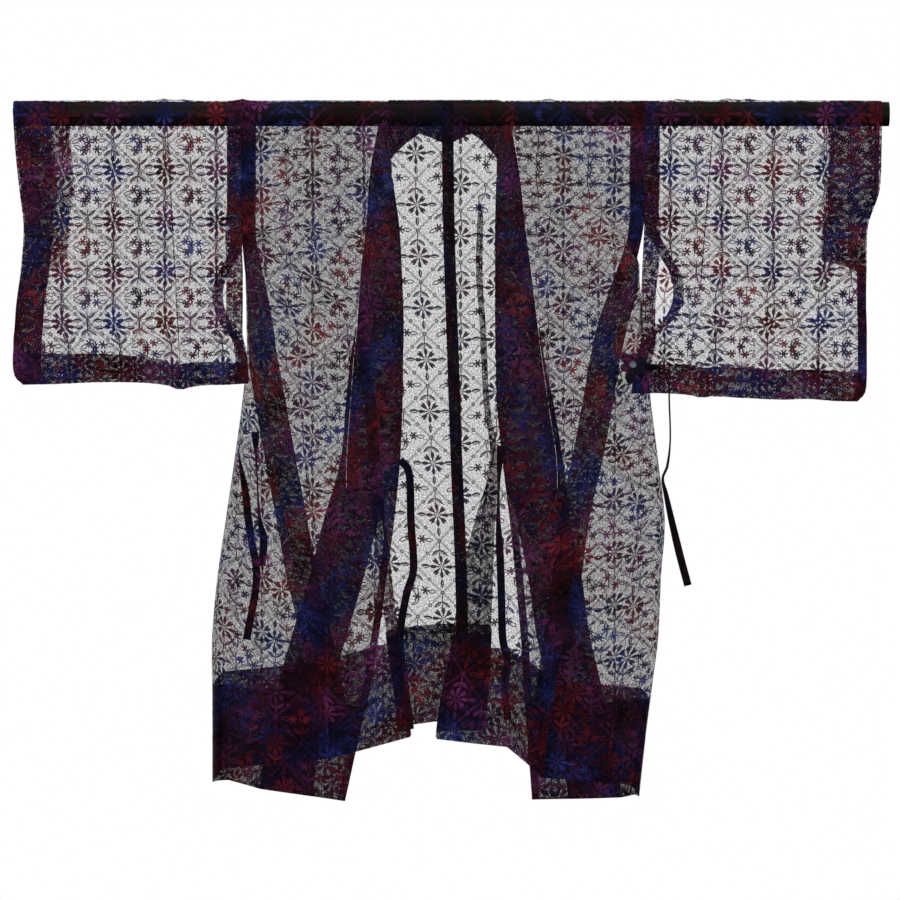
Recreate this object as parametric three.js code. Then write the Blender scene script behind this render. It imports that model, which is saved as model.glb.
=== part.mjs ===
/**
 * A sheer summer kimono coat on a display rod, hung with its back to the viewer.
 *
 * Units are millimetres and +Z is up. The origin is the middle of the rod. -Y is the near side, where
 * the back of the coat hangs, and +Y is the far side, where the fronts, their overlaps and the collar hang.
 * A level is a distance down from the rod's axis, and "out" is a distance from the middle of the coat.
 */
import * as THREE from 'three';

const ROD_RADIUS = 19;
const ROD_LEFT_END = -671;
const ROD_RIGHT_END = 684;
const ROD_SIDES = 32;

const CLOTH = 1.2;
const SEAM_BAND = 1.8;
const HEM_TURN_UP = 2.2;
const COLLAR_CLOTH = 2.2;
const SEAM_GAP = 0.4;
const ROD_CLEARANCE = 0.6;
const DRAPE_RADIUS = ROD_RADIUS + ROD_CLEARANCE + HEM_TURN_UP / 2;

const BODY_LENGTH = 960;
const TURN_UP_DEPTH = 150;
const ARMHOLE_DEPTH = 172;
const SIDE_SEAM_TOP = 330;
const COLLAR_END = 540;
/** How each layer leans away from the rod's plane as it hangs, and the swell of its soft folds further down. */
const NEAR_DRAPE = { lean: 0.018, swellTop: 200, swellFull: 800, broad: 5, fine: 3 };
const FAR_DRAPE = { lean: 0.02, swellTop: 150, swellFull: 750, broad: 6, fine: 3 };

/** Side seams turn in to this depth under the armholes and lie on the near layer from this level down. */
const SIDE_SEAM_DEPTH = 9;
const SIDE_SEAM_ON_BACK = 560;

/** Turn of a front's fold: its largest and smallest half width, and the flat stretch left beside its edge. */
const FRONT_TURN = { largest: 24, smallest: 3, flatLeft: 20, shareOfWedge: 0.6 };

const PLEAT_SPACING = 4.6;
const PLEAT_UNFOLDED = -20;
const PLEAT_STEPS = 4;
const PLEAT_SPREAD = 10;
const SEAM_BAND_WIDTH = 10;

const FRONT_CELLS = { flat: 5, fold: 5, wedge: 5 };
const SHOULDER_CELLS = FRONT_CELLS.flat + FRONT_CELLS.fold + FRONT_CELLS.wedge;
const OVER_ROD_CELLS = 8;

const TURN_UP_TOP = BODY_LENGTH - TURN_UP_DEPTH;

/** Levels of the cross rows of every body piece; the last four lie in the turned-up hem. */
const LEVELS = [
  0, 60, 120, ARMHOLE_DEPTH, 210, 250, 290, SIDE_SEAM_TOP, 380, 430, 485, COLLAR_END,
  600, 665, 735, TURN_UP_TOP - 2, TURN_UP_TOP, 860, 910, BODY_LENGTH,
];

const { lerp, smoothstep, clamp } = THREE.MathUtils;
const rise = (from, to, value) => smoothstep(value, from, to);

/**
 * Smooth functions of the first column of a table, one for each other column.
 * @param {string[]} columns names of the columns
 * @param {number[][]} rows one row for each section, in rising order of the first column
 */
function table(columns, rows) {
  const keys = rows.map((row) => row[0]);
  const functions = {};
  columns.slice(1).forEach((name, offset) => {
    const values = rows.map((row) => row[offset + 1]);
    functions[name] = (key) => {
      const last = keys.length - 2;
      const i = clamp(keys.findIndex((k) => k > key) - 1, 0, last);
      const index = key >= keys[last + 1] ? last : i;
      const slope = (n) => {
        const a = Math.max(n - 1, 0);
        const b = Math.min(n + 1, keys.length - 1);
        return (values[b] - values[a]) / (keys[b] - keys[a]);
      };
      const span = keys[index + 1] - keys[index];
      const t = clamp((key - keys[index]) / span, 0, 1);
      const bend = t * t * (3 - 2 * t);
      const start = slope(index) * span * t * (1 - t) * (1 - t);
      const end = slope(index + 1) * span * t * t * (1 - t);
      return lerp(values[index], values[index + 1], bend) + start - end;
    };
  });
  return functions;
}

const HALF_COLUMNS = ['level', 'side', 'fold', 'collar', 'edge', 'okumi', 'pleat', 'overlap', 'neck'];

/** The wearer's left half, whose narrow back pleat lies outside the neck. */
const LEFT = {
  sign: -1,
  pleatOutsideNeck: true,
  pleatStart: 200,
  pleatFull: 330,
  hem: {
    centre: 938, neck: 940, pleatBack: 947, pleatFront: 963, side: 997,
    wedge: 1012, fold: 1036, okumi: 1049, edge: 1068,
  },
  ...table(HALF_COLUMNS, [
    [0, 319, 319, 105, 91, 105, 128, 14, 90],
    [90, 319, 319, 121, 86, 121, 128, 14, 88],
    [172, 319, 319, 127, 75, 127, 128, 14, 85],
    [240, 313, 314, 135, 71, 135, 127, 14, 82],
    [330, 303, 312, 141, 68, 143, 123, 14, 74],
    [380, 296, 312, 146, 69, 151, 120, 14, 70],
    [450, 283, 319, 151, 70, 158, 112, 14, 65],
    [540, 267, 331, 157, 74, 167, 106, 14, 57],
    [630, 250, 344, 157, 83, 192, 98, 15, 48],
    [720, 233, 357, 157, 95, 215, 88, 15, 40],
    [810, 212, 365, 157, 107, 242, 76, 15, 32],
    [890, 195, 365, 157, 120, 264, 66, 14, 26],
    [960, 183, 365, 157, 136, 280, 58, 14, 20],
    [1070, 176, 365, 157, 160, 296, 56, 14, 16],
  ]),
};

/** The wearer's right half, whose back pleat starts inside the neck and opens into a wide flap. */
const RIGHT = {
  sign: 1,
  pleatOutsideNeck: false,
  pleatStart: 60,
  pleatFull: 170,
  hem: {
    centre: 938, neck: 978, pleatBack: 940, pleatFront: 966, side: 1013,
    wedge: 1024, fold: 1058, okumi: 1062, edge: 1066,
  },
  ...table(HALF_COLUMNS, [
    [0, 306, 306, 96, 80, 96, 50, 4, 80],
    [90, 304, 306, 112, 76, 112, 50, 4, 80],
    [172, 303, 306, 121, 74, 121, 48, 5, 80],
    [240, 289, 298, 130, 74, 130, 46, 6, 80],
    [330, 265, 301, 141, 74, 143, 52, 5, 84],
    [380, 254, 308, 147, 75, 151, 54, 5, 86],
    [450, 242, 316, 157, 77, 165, 58, 5, 92],
    [540, 225, 327, 170, 86, 180, 68, 8, 100],
    [630, 205, 337, 170, 97, 191, 44, 27, 100],
    [720, 193, 331, 170, 106, 208, 23, 45, 98],
    [810, 180, 327, 170, 114, 221, 9, 55, 96],
    [890, 166, 317, 170, 119, 240, -6, 66, 94],
    [960, 154, 308, 170, 124, 255, -16, 67, 92],
    [1070, 143, 296, 170, 132, 273, -20, 67, 90],
  ]),
};

/** How far the centre-back seam hangs to the right of the rod's middle. */
const { shift: centreShift } = table(['level', 'shift'], [
  [0, 0], [172, 2], [360, 8], [540, 14], [720, 21], [960, 24],
]);

/** Distance of the near layer from the rod's plane. */
function nearDepth(x, level) {
  const { lean, swellTop, swellFull, broad, fine } = NEAR_DRAPE;
  const folds = broad * Math.sin(x / 52 + 0.6) + fine * Math.sin(x / 23 + level / 160);
  return DRAPE_RADIUS + lean * level + rise(swellTop, swellFull, level) * folds;
}

/** Distance of the far layer from the rod's plane. */
function farDepth(x, level) {
  const { lean, swellTop, swellFull, broad, fine } = FAR_DRAPE;
  const folds = broad * Math.sin(x / 60 + 1.1) + fine * Math.cos(x / 27 - level / 190);
  return DRAPE_RADIUS + lean * level + rise(swellTop, swellFull, level) * folds;
}

/** Depth at which a side seam lies: it leaves the rod's near side, turns in and moves on to the near layer. */
function sideDepth(half, level) {
  const seamX = half.sign * half.side(level);
  const turnedIn = lerp(DRAPE_RADIUS, SIDE_SEAM_DEPTH, rise(ARMHOLE_DEPTH, SIDE_SEAM_TOP, level));
  return lerp(turnedIn, nearDepth(seamX, level), rise(SIDE_SEAM_TOP, SIDE_SEAM_ON_BACK, level));
}

/** Level of a row on a line that hangs to its own hem. */
function levelOnLine(rowLevel, hem) {
  return rowLevel + (hem - BODY_LENGTH) * rise(SIDE_SEAM_TOP, TURN_UP_TOP - 2, rowLevel);
}

/** Six times the volume inside a closed mesh, negative where its faces point inwards. */
function signedVolume(positions, triangles) {
  const corner = (n) => new THREE.Vector3().fromArray(positions, 3 * triangles[n]);
  let total = 0;
  for (let n = 0; n < triangles.length; n += 3) {
    total += corner(n).dot(corner(n + 1).cross(corner(n + 2)));
  }
  return total;
}

/**
 * A closed wall around a mid-surface.
 * @param {THREE.Vector3[][]} points rows of mid-surface points
 * @param {(row: number, column: number) => number} thickness wall thickness at a point
 * @param {{keep?: (row: number, column: number) => boolean, ring?: boolean}} options which cells exist, and
 *   whether the last row joins the first
 */
function wall(points, thickness, { keep = () => true, ring = false } = {}) {
  const rows = points.length;
  const columns = points[0].length;
  const cellRows = ring ? rows : rows - 1;
  const rowAt = (i) => (ring ? (i + rows) % rows : i);
  const exists = (i, j) => j >= 0 && j < columns - 1 && (ring || (i >= 0 && i < cellRows)) && keep(rowAt(i), j);
  const used = (i, j) => exists(i, j) || exists(i - 1, j) || exists(i, j - 1) || exists(i - 1, j - 1);

  const along = (i, j) => {
    const after = exists(i, j) || exists(i, j - 1) ? points[rowAt(i + 1)][j] : points[i][j];
    const before = exists(i - 1, j) || exists(i - 1, j - 1) ? points[rowAt(i - 1)][j] : points[i][j];
    return after.clone().sub(before);
  };
  const across = (i, j) => {
    const after = exists(i, j) || exists(i - 1, j) ? points[i][j + 1] : points[i][j];
    const before = exists(i, j - 1) || exists(i - 1, j - 1) ? points[i][j - 1] : points[i][j];
    return after.clone().sub(before);
  };

  const positions = [];
  const front = points.map((row) => row.map(() => -1));
  for (let i = 0; i < rows; i += 1) {
    for (let j = 0; j < columns; j += 1) {
      if (used(i, j)) {
        const normal = along(i, j).cross(across(i, j)).normalize().multiplyScalar(thickness(i, j) / 2);
        front[i][j] = positions.length / 3;
        positions.push(...points[i][j].clone().add(normal).toArray(), ...points[i][j].clone().sub(normal).toArray());
      }
    }
  }

  const triangles = [];
  const edges = new Map();
  for (let i = 0; i < cellRows; i += 1) {
    for (let j = 0; j < columns - 1; j += 1) {
      if (exists(i, j)) {
        const corner = [front[i][j], front[rowAt(i + 1)][j], front[rowAt(i + 1)][j + 1], front[i][j + 1]];
        const next = points[rowAt(i + 1)];
        const falling = points[i][j].distanceTo(next[j + 1]) <= next[j].distanceTo(points[i][j + 1]);
        const halves = falling ? [[0, 1, 2], [0, 2, 3]] : [[0, 1, 3], [1, 2, 3]];
        halves.forEach(([a, b, c]) => {
          triangles.push(corner[a], corner[b], corner[c], corner[c] + 1, corner[b] + 1, corner[a] + 1);
        });
        corner.forEach((from, n) => edges.set(`${from} ${corner[(n + 1) % 4]}`, [from, corner[(n + 1) % 4]]));
      }
    }
  }
  edges.forEach(([from, to]) => {
    if (!edges.has(`${to} ${from}`)) {
      triangles.push(to, from, from + 1, to, from + 1, to + 1);
    }
  });

  const geometry = new THREE.BufferGeometry();
  geometry.setAttribute('position', new THREE.Float32BufferAttribute(positions, 3));
  geometry.setIndex(signedVolume(positions, triangles) > 0 ? triangles : triangles.reverse());
  geometry.computeVertexNormals();
  return geometry;
}

/** A line of the near layer between two others, a share of the way across. */
function between(a, b, share) {
  return {
    hem: lerp(a.hem, b.hem, share),
    place: (level) => {
      const from = a.place(level);
      const to = b.place(level);
      return { out: lerp(from.out, to.out, share), lift: lerp(from.lift, to.lift, share) };
    },
  };
}

/** Lines evenly spaced from one line to another, without the first. */
function linesTo(from, to, cells) {
  return Array.from({ length: cells }, (_, n) => between(from, to, (n + 1) / cells));
}

/** The two turns of a half's back pleat, as lines in order from the middle of the coat outwards. */
function pleatLines(half) {
  const folded = (level) => rise(half.pleatStart, half.pleatFull, level);
  const turn = (isFirst) => Array.from({ length: PLEAT_STEPS + 1 }, (_, step) => ({
    hem: lerp(half.hem.pleatBack, half.hem.pleatFront, (isFirst ? 0 : 0.5) + step / PLEAT_STEPS / 2),
    place: (level) => {
      const angle = (Math.PI * step) / PLEAT_STEPS;
      const shut = folded(level);
      const overlap = lerp(PLEAT_UNFOLDED, half.overlap(level), shut);
      const bulge = (PLEAT_SPACING / 2) * Math.sin(angle) * shut;
      const spread = (step / PLEAT_STEPS - 0.5) * PLEAT_SPREAD * (1 - shut);
      const climb = (PLEAT_SPACING * (1 - Math.cos(angle))) / 2;
      return {
        out: half.pleat(level) + spread + (isFirst ? overlap + bulge : -bulge),
        lift: shut * (isFirst ? climb : PLEAT_SPACING + climb),
      };
    },
  }));
  return [...turn(true), ...turn(false)];
}

/** Lines of a half's back, from the centre seam to the side seam, and the index of the one at the neck. */
function backLines(half) {
  const centreOut = (level) => half.sign * centreShift(level) + SEAM_GAP / 2;
  const centre = { hem: half.hem.centre, place: (level) => ({ out: centreOut(level), lift: 0 }) };
  const band = {
    hem: half.hem.centre,
    place: (level) => ({ out: centreOut(level) + SEAM_BAND_WIDTH, lift: 0 }),
  };
  const neckClimb = half.pleatOutsideNeck ? 0 : 2 * PLEAT_SPACING;
  const neckLift = (level) => neckClimb * rise(half.pleatStart, half.pleatFull, level);
  const neck = { hem: half.hem.neck, place: (level) => ({ out: half.neck(level), lift: neckLift(level) }) };
  const side = {
    hem: half.hem.side,
    place: (level) => {
      const out = half.side(level) - (level > SIDE_SEAM_TOP - 1 ? SEAM_GAP / 2 : 0);
      return { out, lift: sideDepth(half, level) - nearDepth(half.sign * out, level) };
    },
  };
  const pleat = pleatLines(half);
  if (half.pleatOutsideNeck) {
    const cells = SHOULDER_CELLS - pleat.length;
    const inner = [centre, band, ...linesTo(band, neck, 2)];
    return { lines: [...inner, ...pleat, ...linesTo(pleat.at(-1), side, cells)], neckIndex: inner.length - 1 };
  }
  const inner = [centre, band, ...pleat, neck];
  return { lines: [...inner, ...linesTo(neck, side, SHOULDER_CELLS)], neckIndex: inner.length - 1 };
}

/** Points of one cross row of a half's back. */
function backRow(half, lines, rowLevel) {
  return lines.map(({ hem, place }) => {
    const level = levelOnLine(rowLevel, hem);
    const { out, lift } = place(level);
    const x = half.sign * out;
    return new THREE.Vector3(x, -(nearDepth(x, level) + lift), -level);
  });
}

/** Where a half's front meets the collar, and below that the overlap panel. */
const frontEdgeOut = (half, level) => (level < SIDE_SEAM_TOP ? half.collar(level) : half.okumi(level));

/** Points of one cross row of a half's front, from the collar round the fold at the side to the side seam. */
function frontRow(half, rowLevel) {
  const { flat, fold, wedge } = FRONT_CELLS;
  const wrapped = rise(ARMHOLE_DEPTH, SIDE_SEAM_TOP, rowLevel);
  return Array.from({ length: SHOULDER_CELLS + 1 }, (_, n) => {
    const hems = half.hem;
    const share = clamp((n - flat) / fold, 0, 1);
    const beyond = clamp((n - flat - fold) / wedge, 0, 1);
    const beyondFlat = lerp(lerp(hems.fold, hems.wedge, share), hems.side, beyond);
    const level = levelOnLine(rowLevel, n <= flat ? lerp(hems.okumi, hems.fold, n / flat) : beyondFlat);
    const edge = frontEdgeOut(half, level) + SEAM_GAP / 2;
    const side = half.side(level) + SEAM_GAP / 2;
    const farY = farDepth(half.sign * half.fold(level), level);
    const nearY = sideDepth(half, level);
    const turnFar = Math.min(FRONT_TURN.largest, half.fold(level) - edge - FRONT_TURN.flatLeft);
    const wedgeTurn = FRONT_TURN.shareOfWedge * (half.fold(level) - side);
    const turnNear = clamp(wedgeTurn, FRONT_TURN.smallest, FRONT_TURN.largest);
    const angle = Math.PI * share;
    const middle = (farY - nearY) / 2;
    const reach = (farY + nearY) / 2;
    const turn = angle < Math.PI / 2 ? turnFar : turnNear;
    const arc = {
      out: half.fold(level) - turn + turn * Math.sin(angle),
      y: middle + reach * Math.cos(angle),
    };
    const start = { out: half.fold(level) - turnFar, y: farY };
    let hung = arc;
    if (n < flat) {
      const out = lerp(edge, start.out, n / flat);
      hung = { out, y: farDepth(half.sign * out, level) };
    } else if (n > flat + fold) {
      hung = { out: lerp(arc.out, side, beyond), y: lerp(arc.y, -nearY, beyond) };
    }
    const straightOut = lerp(edge, side, n / SHOULDER_CELLS);
    const straight = { out: straightOut, y: farDepth(half.sign * straightOut, level) };
    return new THREE.Vector3(
      half.sign * lerp(straight.out, hung.out, wrapped), lerp(straight.y, hung.y, wrapped), -level,
    );
  });
}

/** A point on the cloth over the rod: the angle runs from the near side over the top to the far side. */
function onRod(x, angle) {
  return new THREE.Vector3(x, -DRAPE_RADIUS * Math.cos(angle), DRAPE_RADIUS * Math.sin(angle));
}

/** One body length: from the back hem over the shoulder to the front hem, cut out at the neck. */
function bodyLength(half) {
  const { lines, neckIndex } = backLines(half);
  const back = [...LEVELS].reverse().map((level) => backRow(half, lines, level));
  const backTop = back.at(-1);
  const padded = (row) => [...backTop.slice(0, neckIndex), ...row];
  const front = LEVELS.map((level) => padded(frontRow(half, level)));
  const frontTop = front[0];
  const overRod = Array.from({ length: OVER_ROD_CELLS - 1 }, (_, n) => {
    const share = (n + 1) / OVER_ROD_CELLS;
    const atTop = share === 0.5;
    return backTop.map((point, column) => {
      const trim = atTop && column < neckIndex ? SEAM_GAP / 2 / DRAPE_RADIUS : 0;
      return onRod(lerp(point.x, column < neckIndex ? point.x : frontTop[column].x, share), Math.PI * share - trim);
    });
  });
  const points = [...back, ...overRod, ...front];
  const topRow = back.length - 1 + OVER_ROD_CELLS / 2;
  const turnUpCells = LEVELS.filter((level) => level >= TURN_UP_TOP).length;
  const lastColumn = lines.length - 1;
  const thickness = (row, column) => {
    if (row < turnUpCells || row >= points.length - turnUpCells) {
      return HEM_TURN_UP;
    }
    return column < 2 || column === lastColumn ? SEAM_BAND : CLOTH;
  };
  return wall(points, thickness, { keep: (row, column) => row < topRow || column >= neckIndex });
}

/** A point of the far layer, by its distance down the cloth from the top of the rod. */
function farPoint(x, down) {
  const quarter = (Math.PI / 2) * DRAPE_RADIUS;
  if (down < quarter) {
    return onRod(x, Math.PI / 2 + down / DRAPE_RADIUS);
  }
  const level = down - quarter;
  return new THREE.Vector3(x, farDepth(x, level), -level);
}

/** The overlap panel between a front and its free edge; its upper part is a tongue beside the collar. */
function overlapPanel(half) {
  const levels = LEVELS.filter((level) => level >= SIDE_SEAM_TOP);
  const tongueCells = 2;
  const cells = 5;
  const collarRow = levels.indexOf(COLLAR_END);
  const points = levels.map((rowLevel) => Array.from({ length: cells + 1 }, (_, n) => {
    const level = levelOnLine(rowLevel, lerp(half.hem.okumi, half.hem.edge, n / cells));
    const outer = half.okumi(level) - SEAM_GAP / 2;
    const tongue = rowLevel <= COLLAR_END
      ? half.collar(level) + SEAM_GAP / 2
      : lerp(half.okumi(level), half.edge(level), tongueCells / cells);
    const out = n <= tongueCells
      ? lerp(outer, tongue, n / tongueCells)
      : lerp(tongue, half.edge(level), (n - tongueCells) / (cells - tongueCells));
    return new THREE.Vector3(half.sign * out, farDepth(half.sign * out, level), -level);
  }));
  const thickness = (row) => (levels[row] >= TURN_UP_TOP ? HEM_TURN_UP : CLOTH);
  return wall(points, thickness, { keep: (row, column) => row >= collarRow || column < tongueCells });
}

/** Lower edge of the collar behind the neck: two arches that meet at the centre seam. */
const NECK_ARCHES = [
  { out: -84, level: 63 }, { out: -74, level: 53 }, { out: -59, level: 39 }, { out: -43, level: 29 },
  { out: -27, level: 35 }, { out: -3, level: 45 }, { out: 20, level: 37 }, { out: 36, level: 28 },
  { out: 51, level: 38 }, { out: 65, level: 53 }, { out: 74, level: 63 },
];

/** Cells across the collar, of which the first ones lie over the rod behind the neck. */
const COLLAR_CELLS = 6;
const ROD_CELLS = 4;
const ROD_SHARE = 0.34;

/** Turning of the collar from a front to the neck, from below: its seam side and its free side. */
const NECK_CORNER = [
  { seamShare: 0, freeLevel: 88 }, { seamShare: 0.25, freeLevel: 82 },
  { seamShare: 0.5, freeLevel: 75 }, { seamShare: 0.75, freeLevel: 69 },
];

/** The collar, from the end of one front round the neck to the end of the other. */
function collar() {
  const quarter = (Math.PI / 2) * DRAPE_RADIUS;
  const frontLevels = LEVELS.filter((level) => level >= 60 && level <= COLLAR_END);
  const frontRows = (half) => [...frontLevels].reverse().map((rowLevel) => {
    const level = levelOnLine(rowLevel, half.hem.okumi);
    const free = rowLevel === frontLevels[0] ? 96 : level;
    return {
      seam: [half.sign * (half.collar(level) - SEAM_GAP / 2), quarter + level],
      free: [half.sign * half.edge(level), quarter + free],
    };
  });
  const cornerRows = (half) => NECK_CORNER.map(({ seamShare, freeLevel }) => ({
    seam: [half.sign * (lerp(half.collar(0), half.neck(0), seamShare) - SEAM_GAP / 2), quarter * (1 - seamShare)],
    free: [half.sign * half.edge(freeLevel), quarter + freeLevel],
  }));
  const neckRows = NECK_ARCHES.map(({ out, level }, n) => {
    const share = n / (NECK_ARCHES.length - 1);
    const seam = lerp(-(LEFT.neck(0) - SEAM_GAP / 2), RIGHT.neck(0) - SEAM_GAP / 2, share);
    return { seam: [seam, SEAM_GAP / 2], free: [out, quarter + level] };
  });
  const rows = [
    ...frontRows(LEFT), ...cornerRows(LEFT), ...neckRows,
    ...cornerRows(RIGHT).reverse(), ...frontRows(RIGHT).reverse(),
  ];
  const points = rows.map(({ seam, free }) => {
    const overRod = Math.max((quarter - seam[1]) / (free[1] - seam[1] || 1), ROD_SHARE);
    return Array.from({ length: COLLAR_CELLS + 1 }, (_, n) => {
      const beyondRod = (n - ROD_CELLS) / (COLLAR_CELLS - ROD_CELLS);
      const share = n <= ROD_CELLS ? (overRod * n) / ROD_CELLS : lerp(overRod, 1, beyondRod);
      return farPoint(lerp(seam[0], free[0], share), lerp(seam[1], free[1], share));
    });
  });
  return wall(points, () => COLLAR_CLOTH);
}

const SLEEVE_COLUMNS = ['level', 'nearEdge', 'farEdge', 'cuff'];

const LEFT_SLEEVE = {
  sign: -1,
  depth: 420,
  cuffBand: 57,
  ...table(SLEEVE_COLUMNS, [
    [0, 319, 319, 672], [60, 319, 319, 668], [120, 319, 319, 662], [172, 319, 319, 656], [215, 321, 318, 658],
    [250, 340, 317, 662], [275, 347, 317, 666], [300, 345, 317, 669], [330, 333, 317, 671], [360, 321, 317, 673],
    [386, 318, 317, 674], [420, 317, 317, 668],
  ]),
};

const RIGHT_SLEEVE = {
  sign: 1,
  depth: 440,
  cuffBand: 85,
  ...table(SLEEVE_COLUMNS, [
    [0, 306, 306, 672], [60, 306, 306, 671], [120, 306, 306, 668], [172, 305, 305, 651], [215, 325, 303, 649],
    [250, 345, 301, 649], [275, 349, 302, 649], [300, 345, 304, 649], [330, 328, 307, 650], [360, 315, 313, 650],
    [386, 321, 321, 650], [440, 328, 328, 644],
  ]),
};

const SLEEVE_LEVELS = [0, 60, 120, ARMHOLE_DEPTH, 215, 250, 275, 300, 330, 360, 384];
const SLEEVE_BOTTOM_RADIUS = 2.4;
const SLEEVE_HEM = 12;
const SLEEVE_HEM_ROWS = 3;
const CUFF_OPENING = 235;
const SLEEVE_BAND_WIDTH = 26;

/** Below the cuff opening both layers of a sleeve close towards each other between these levels. */
const CUFF_CLOSING = { from: CUFF_OPENING - 12, to: CUFF_OPENING + 45 };

/** Columns across a sleeve: the armhole's edge, the plain cloth between its bands, and the cuff's band. */
const SLEEVE_PLAIN_SHARES = [0, 0.2, 0.4, 0.6, 0.8, 1];
const CUFF_BAND_SHARES = [0.6, 1];
const SLEEVE_COLUMN_COUNT = 1 + SLEEVE_PLAIN_SHARES.length + CUFF_BAND_SHARES.length;

/** How far each of the last columns closes below the cuff opening. */
const CUFF_CLOSED = [0.2, 0.75, 1];

/** A sleeve: one length folded over the rod, joined along its bottom and up its outer edge to the cuff opening. */
function sleeve(shape) {
  const bottom = shape.depth - SLEEVE_BOTTOM_RADIUS;
  const levels = [...SLEEVE_LEVELS, shape.depth - SLEEVE_HEM, bottom];
  const outAt = (column, level, isFar) => {
    const edge = (isFar ? shape.farEdge(level) : shape.nearEdge(level)) + SEAM_GAP;
    const inner = edge + SLEEVE_BAND_WIDTH;
    const cuff = shape.cuff(level);
    const outer = cuff - shape.cuffBand;
    const plain = SLEEVE_PLAIN_SHARES.map((share) => lerp(inner, outer, share));
    return [edge, ...plain, ...CUFF_BAND_SHARES.map((share) => lerp(outer, cuff, share))][column];
  };
  const columns = SLEEVE_COLUMN_COUNT;
  const spread = (column, level) => {
    const hang = lerp(DRAPE_RADIUS, SLEEVE_BOTTOM_RADIUS, rise(0, bottom, level));
    const closed = CUFF_CLOSED[column - (columns - CUFF_CLOSED.length)] ?? 0;
    const shut = rise(CUFF_CLOSING.from, CUFF_CLOSING.to, level) * closed;
    return lerp(hang, HEM_TURN_UP / 2 + SEAM_GAP / 2, shut);
  };
  const side = (isFar) => levels.map((level) => Array.from({ length: columns }, (_, column) => {
    const y = spread(column, level) * (isFar ? 1 : -1);
    return new THREE.Vector3(shape.sign * outAt(column, level, isFar), y, -level);
  }));
  const near = side(false).reverse();
  const far = side(true);
  const over = Array.from({ length: OVER_ROD_CELLS - 1 }, (_, n) => {
    const share = (n + 1) / OVER_ROD_CELLS;
    return Array.from({ length: columns }, (_unused, column) => onRod(
      shape.sign * outAt(column, 0, false), Math.PI * share,
    ));
  });
  const turn = Array.from({ length: columns }, (_, column) => {
    const low = far.at(-1)[column];
    return new THREE.Vector3(low.x, 0, -shape.depth);
  });
  const points = [...near, ...over, ...far, turn];
  const thickness = (row, column) => {
    const inHem = row < SLEEVE_HEM_ROWS || row >= points.length - 1 - SLEEVE_HEM_ROWS;
    const inBand = column === 0 || column >= columns - CUFF_BAND_SHARES.length;
    return inHem || inBand ? HEM_TURN_UP : CLOTH;
  };
  return wall(points, thickness, { ring: true });
}

const TIE_WIDTH = 12;
const TIE_THICKNESS = 1.6;
const TIE_STEPS = 24;

/**
 * Routes of the flat ties, from where a tie is sewn on to its free end: x, y and level of each point, and the
 * angle in degrees by which the tie's broad face is turned from the viewer there.
 */
const TIES = {
  tie_front_left: [[-74, 30.2, 536, 0], [-60, 29, 556, 0], [-57, 28, 630, 0], [-53, 27, 706, 0], [-63, 25, 742, 0],
    [-72, 24, 790, 0], [-74, 24, 820, 0], [-67, 23, 884, 0], [-58, 22, 955, 0]],
  tie_front_right: [[83, 32.4, 514, 0], [80, 31, 568, 70], [79, 30, 628, 60], [82, 28, 690, 0], [84, 27, 752, 0],
    [86, 26, 815, 0], [93, 25, 848, 0], [89, 24, 893, 0], [94, 23, 940, 0]],
  tie_inner_left: [[-325, 3, 520, 90], [-320, 6, 550, 60], [-314, 8, 583, 20], [-309, 8, 629, 0], [-303, 9, 668, 0],
    [-297, 9, 700, 0], [-297, 9, 730, 0], [-303, 8, 769, 0], [-312, 8, 815, 0]],
  tie_inner_left_short: [[-297, -24.4, 493, 0], [-296, -15, 530, 70], [-294, -6, 583, 80], [-291, -2, 629, 60],
    [-285, 0, 660, 0], [-288, 1, 700, 0]],
  tie_outer_right: [[304, -17, 392, 20], [314, -9, 398, 60], [317, 2, 405, 90], [321, 11, 412, 90],
    [331, 15, 424, 90], [343, 14, 448, 90], [345, 12, 505, 90], [341, 10, 545, 80], [334, 8, 565, 80],
    [339, 8, 590, 60], [350, 7, 640, 30], [361, 6, 686, 0], [373, 5, 731, 0]],
};

/** A flat tie along its route. */
function tie(route) {
  const curve = new THREE.CatmullRomCurve3(
    route.map(([x, y, level]) => new THREE.Vector3(x, y, -level)), false, 'centripetal',
  );
  const points = Array.from({ length: TIE_STEPS + 1 }, (_, n) => {
    const share = curve.getUtoTmapping(n / TIE_STEPS);
    const point = curve.getPoint(share);
    const tangent = curve.getTangent(share);
    const place = share * (route.length - 1);
    const from = Math.min(Math.floor(place), route.length - 2);
    const turn = THREE.MathUtils.degToRad(lerp(route[from][3], route[from + 1][3], place - from));
    const half = new THREE.Vector3(-tangent.z, 0, tangent.x).normalize()
      .applyAxisAngle(tangent, turn).multiplyScalar(TIE_WIDTH / 2);
    return [point.clone().sub(half), point.clone().add(half)];
  });
  return wall(points, () => TIE_THICKNESS);
}

const KNOT = {
  x: 286, level: 389, y: -16.5, petals: 5, stepsPerPetal: 8, radius: 15, petalDepth: 4.5, thickness: 7, bevel: 2,
};

/** The tie's flat rosette knot. */
function rosetteKnot() {
  const outline = new THREE.Shape();
  const steps = KNOT.petals * KNOT.stepsPerPetal;
  const rim = Array.from({ length: steps }, (_, n) => {
    const angle = (2 * Math.PI * n) / steps;
    const radius = KNOT.radius - KNOT.petalDepth * Math.abs(Math.sin((KNOT.petals * angle) / 2)) ** 3;
    return new THREE.Vector2(radius * Math.cos(angle), radius * Math.sin(angle));
  });
  outline.setFromPoints(rim);
  const geometry = new THREE.ExtrudeGeometry(outline, {
    depth: KNOT.thickness - 2 * KNOT.bevel,
    bevelThickness: KNOT.bevel,
    bevelSize: KNOT.bevel,
    bevelSegments: 2,
  });
  geometry.rotateX(Math.PI / 2);
  geometry.translate(KNOT.x, KNOT.y, -KNOT.level);
  return geometry;
}

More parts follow.
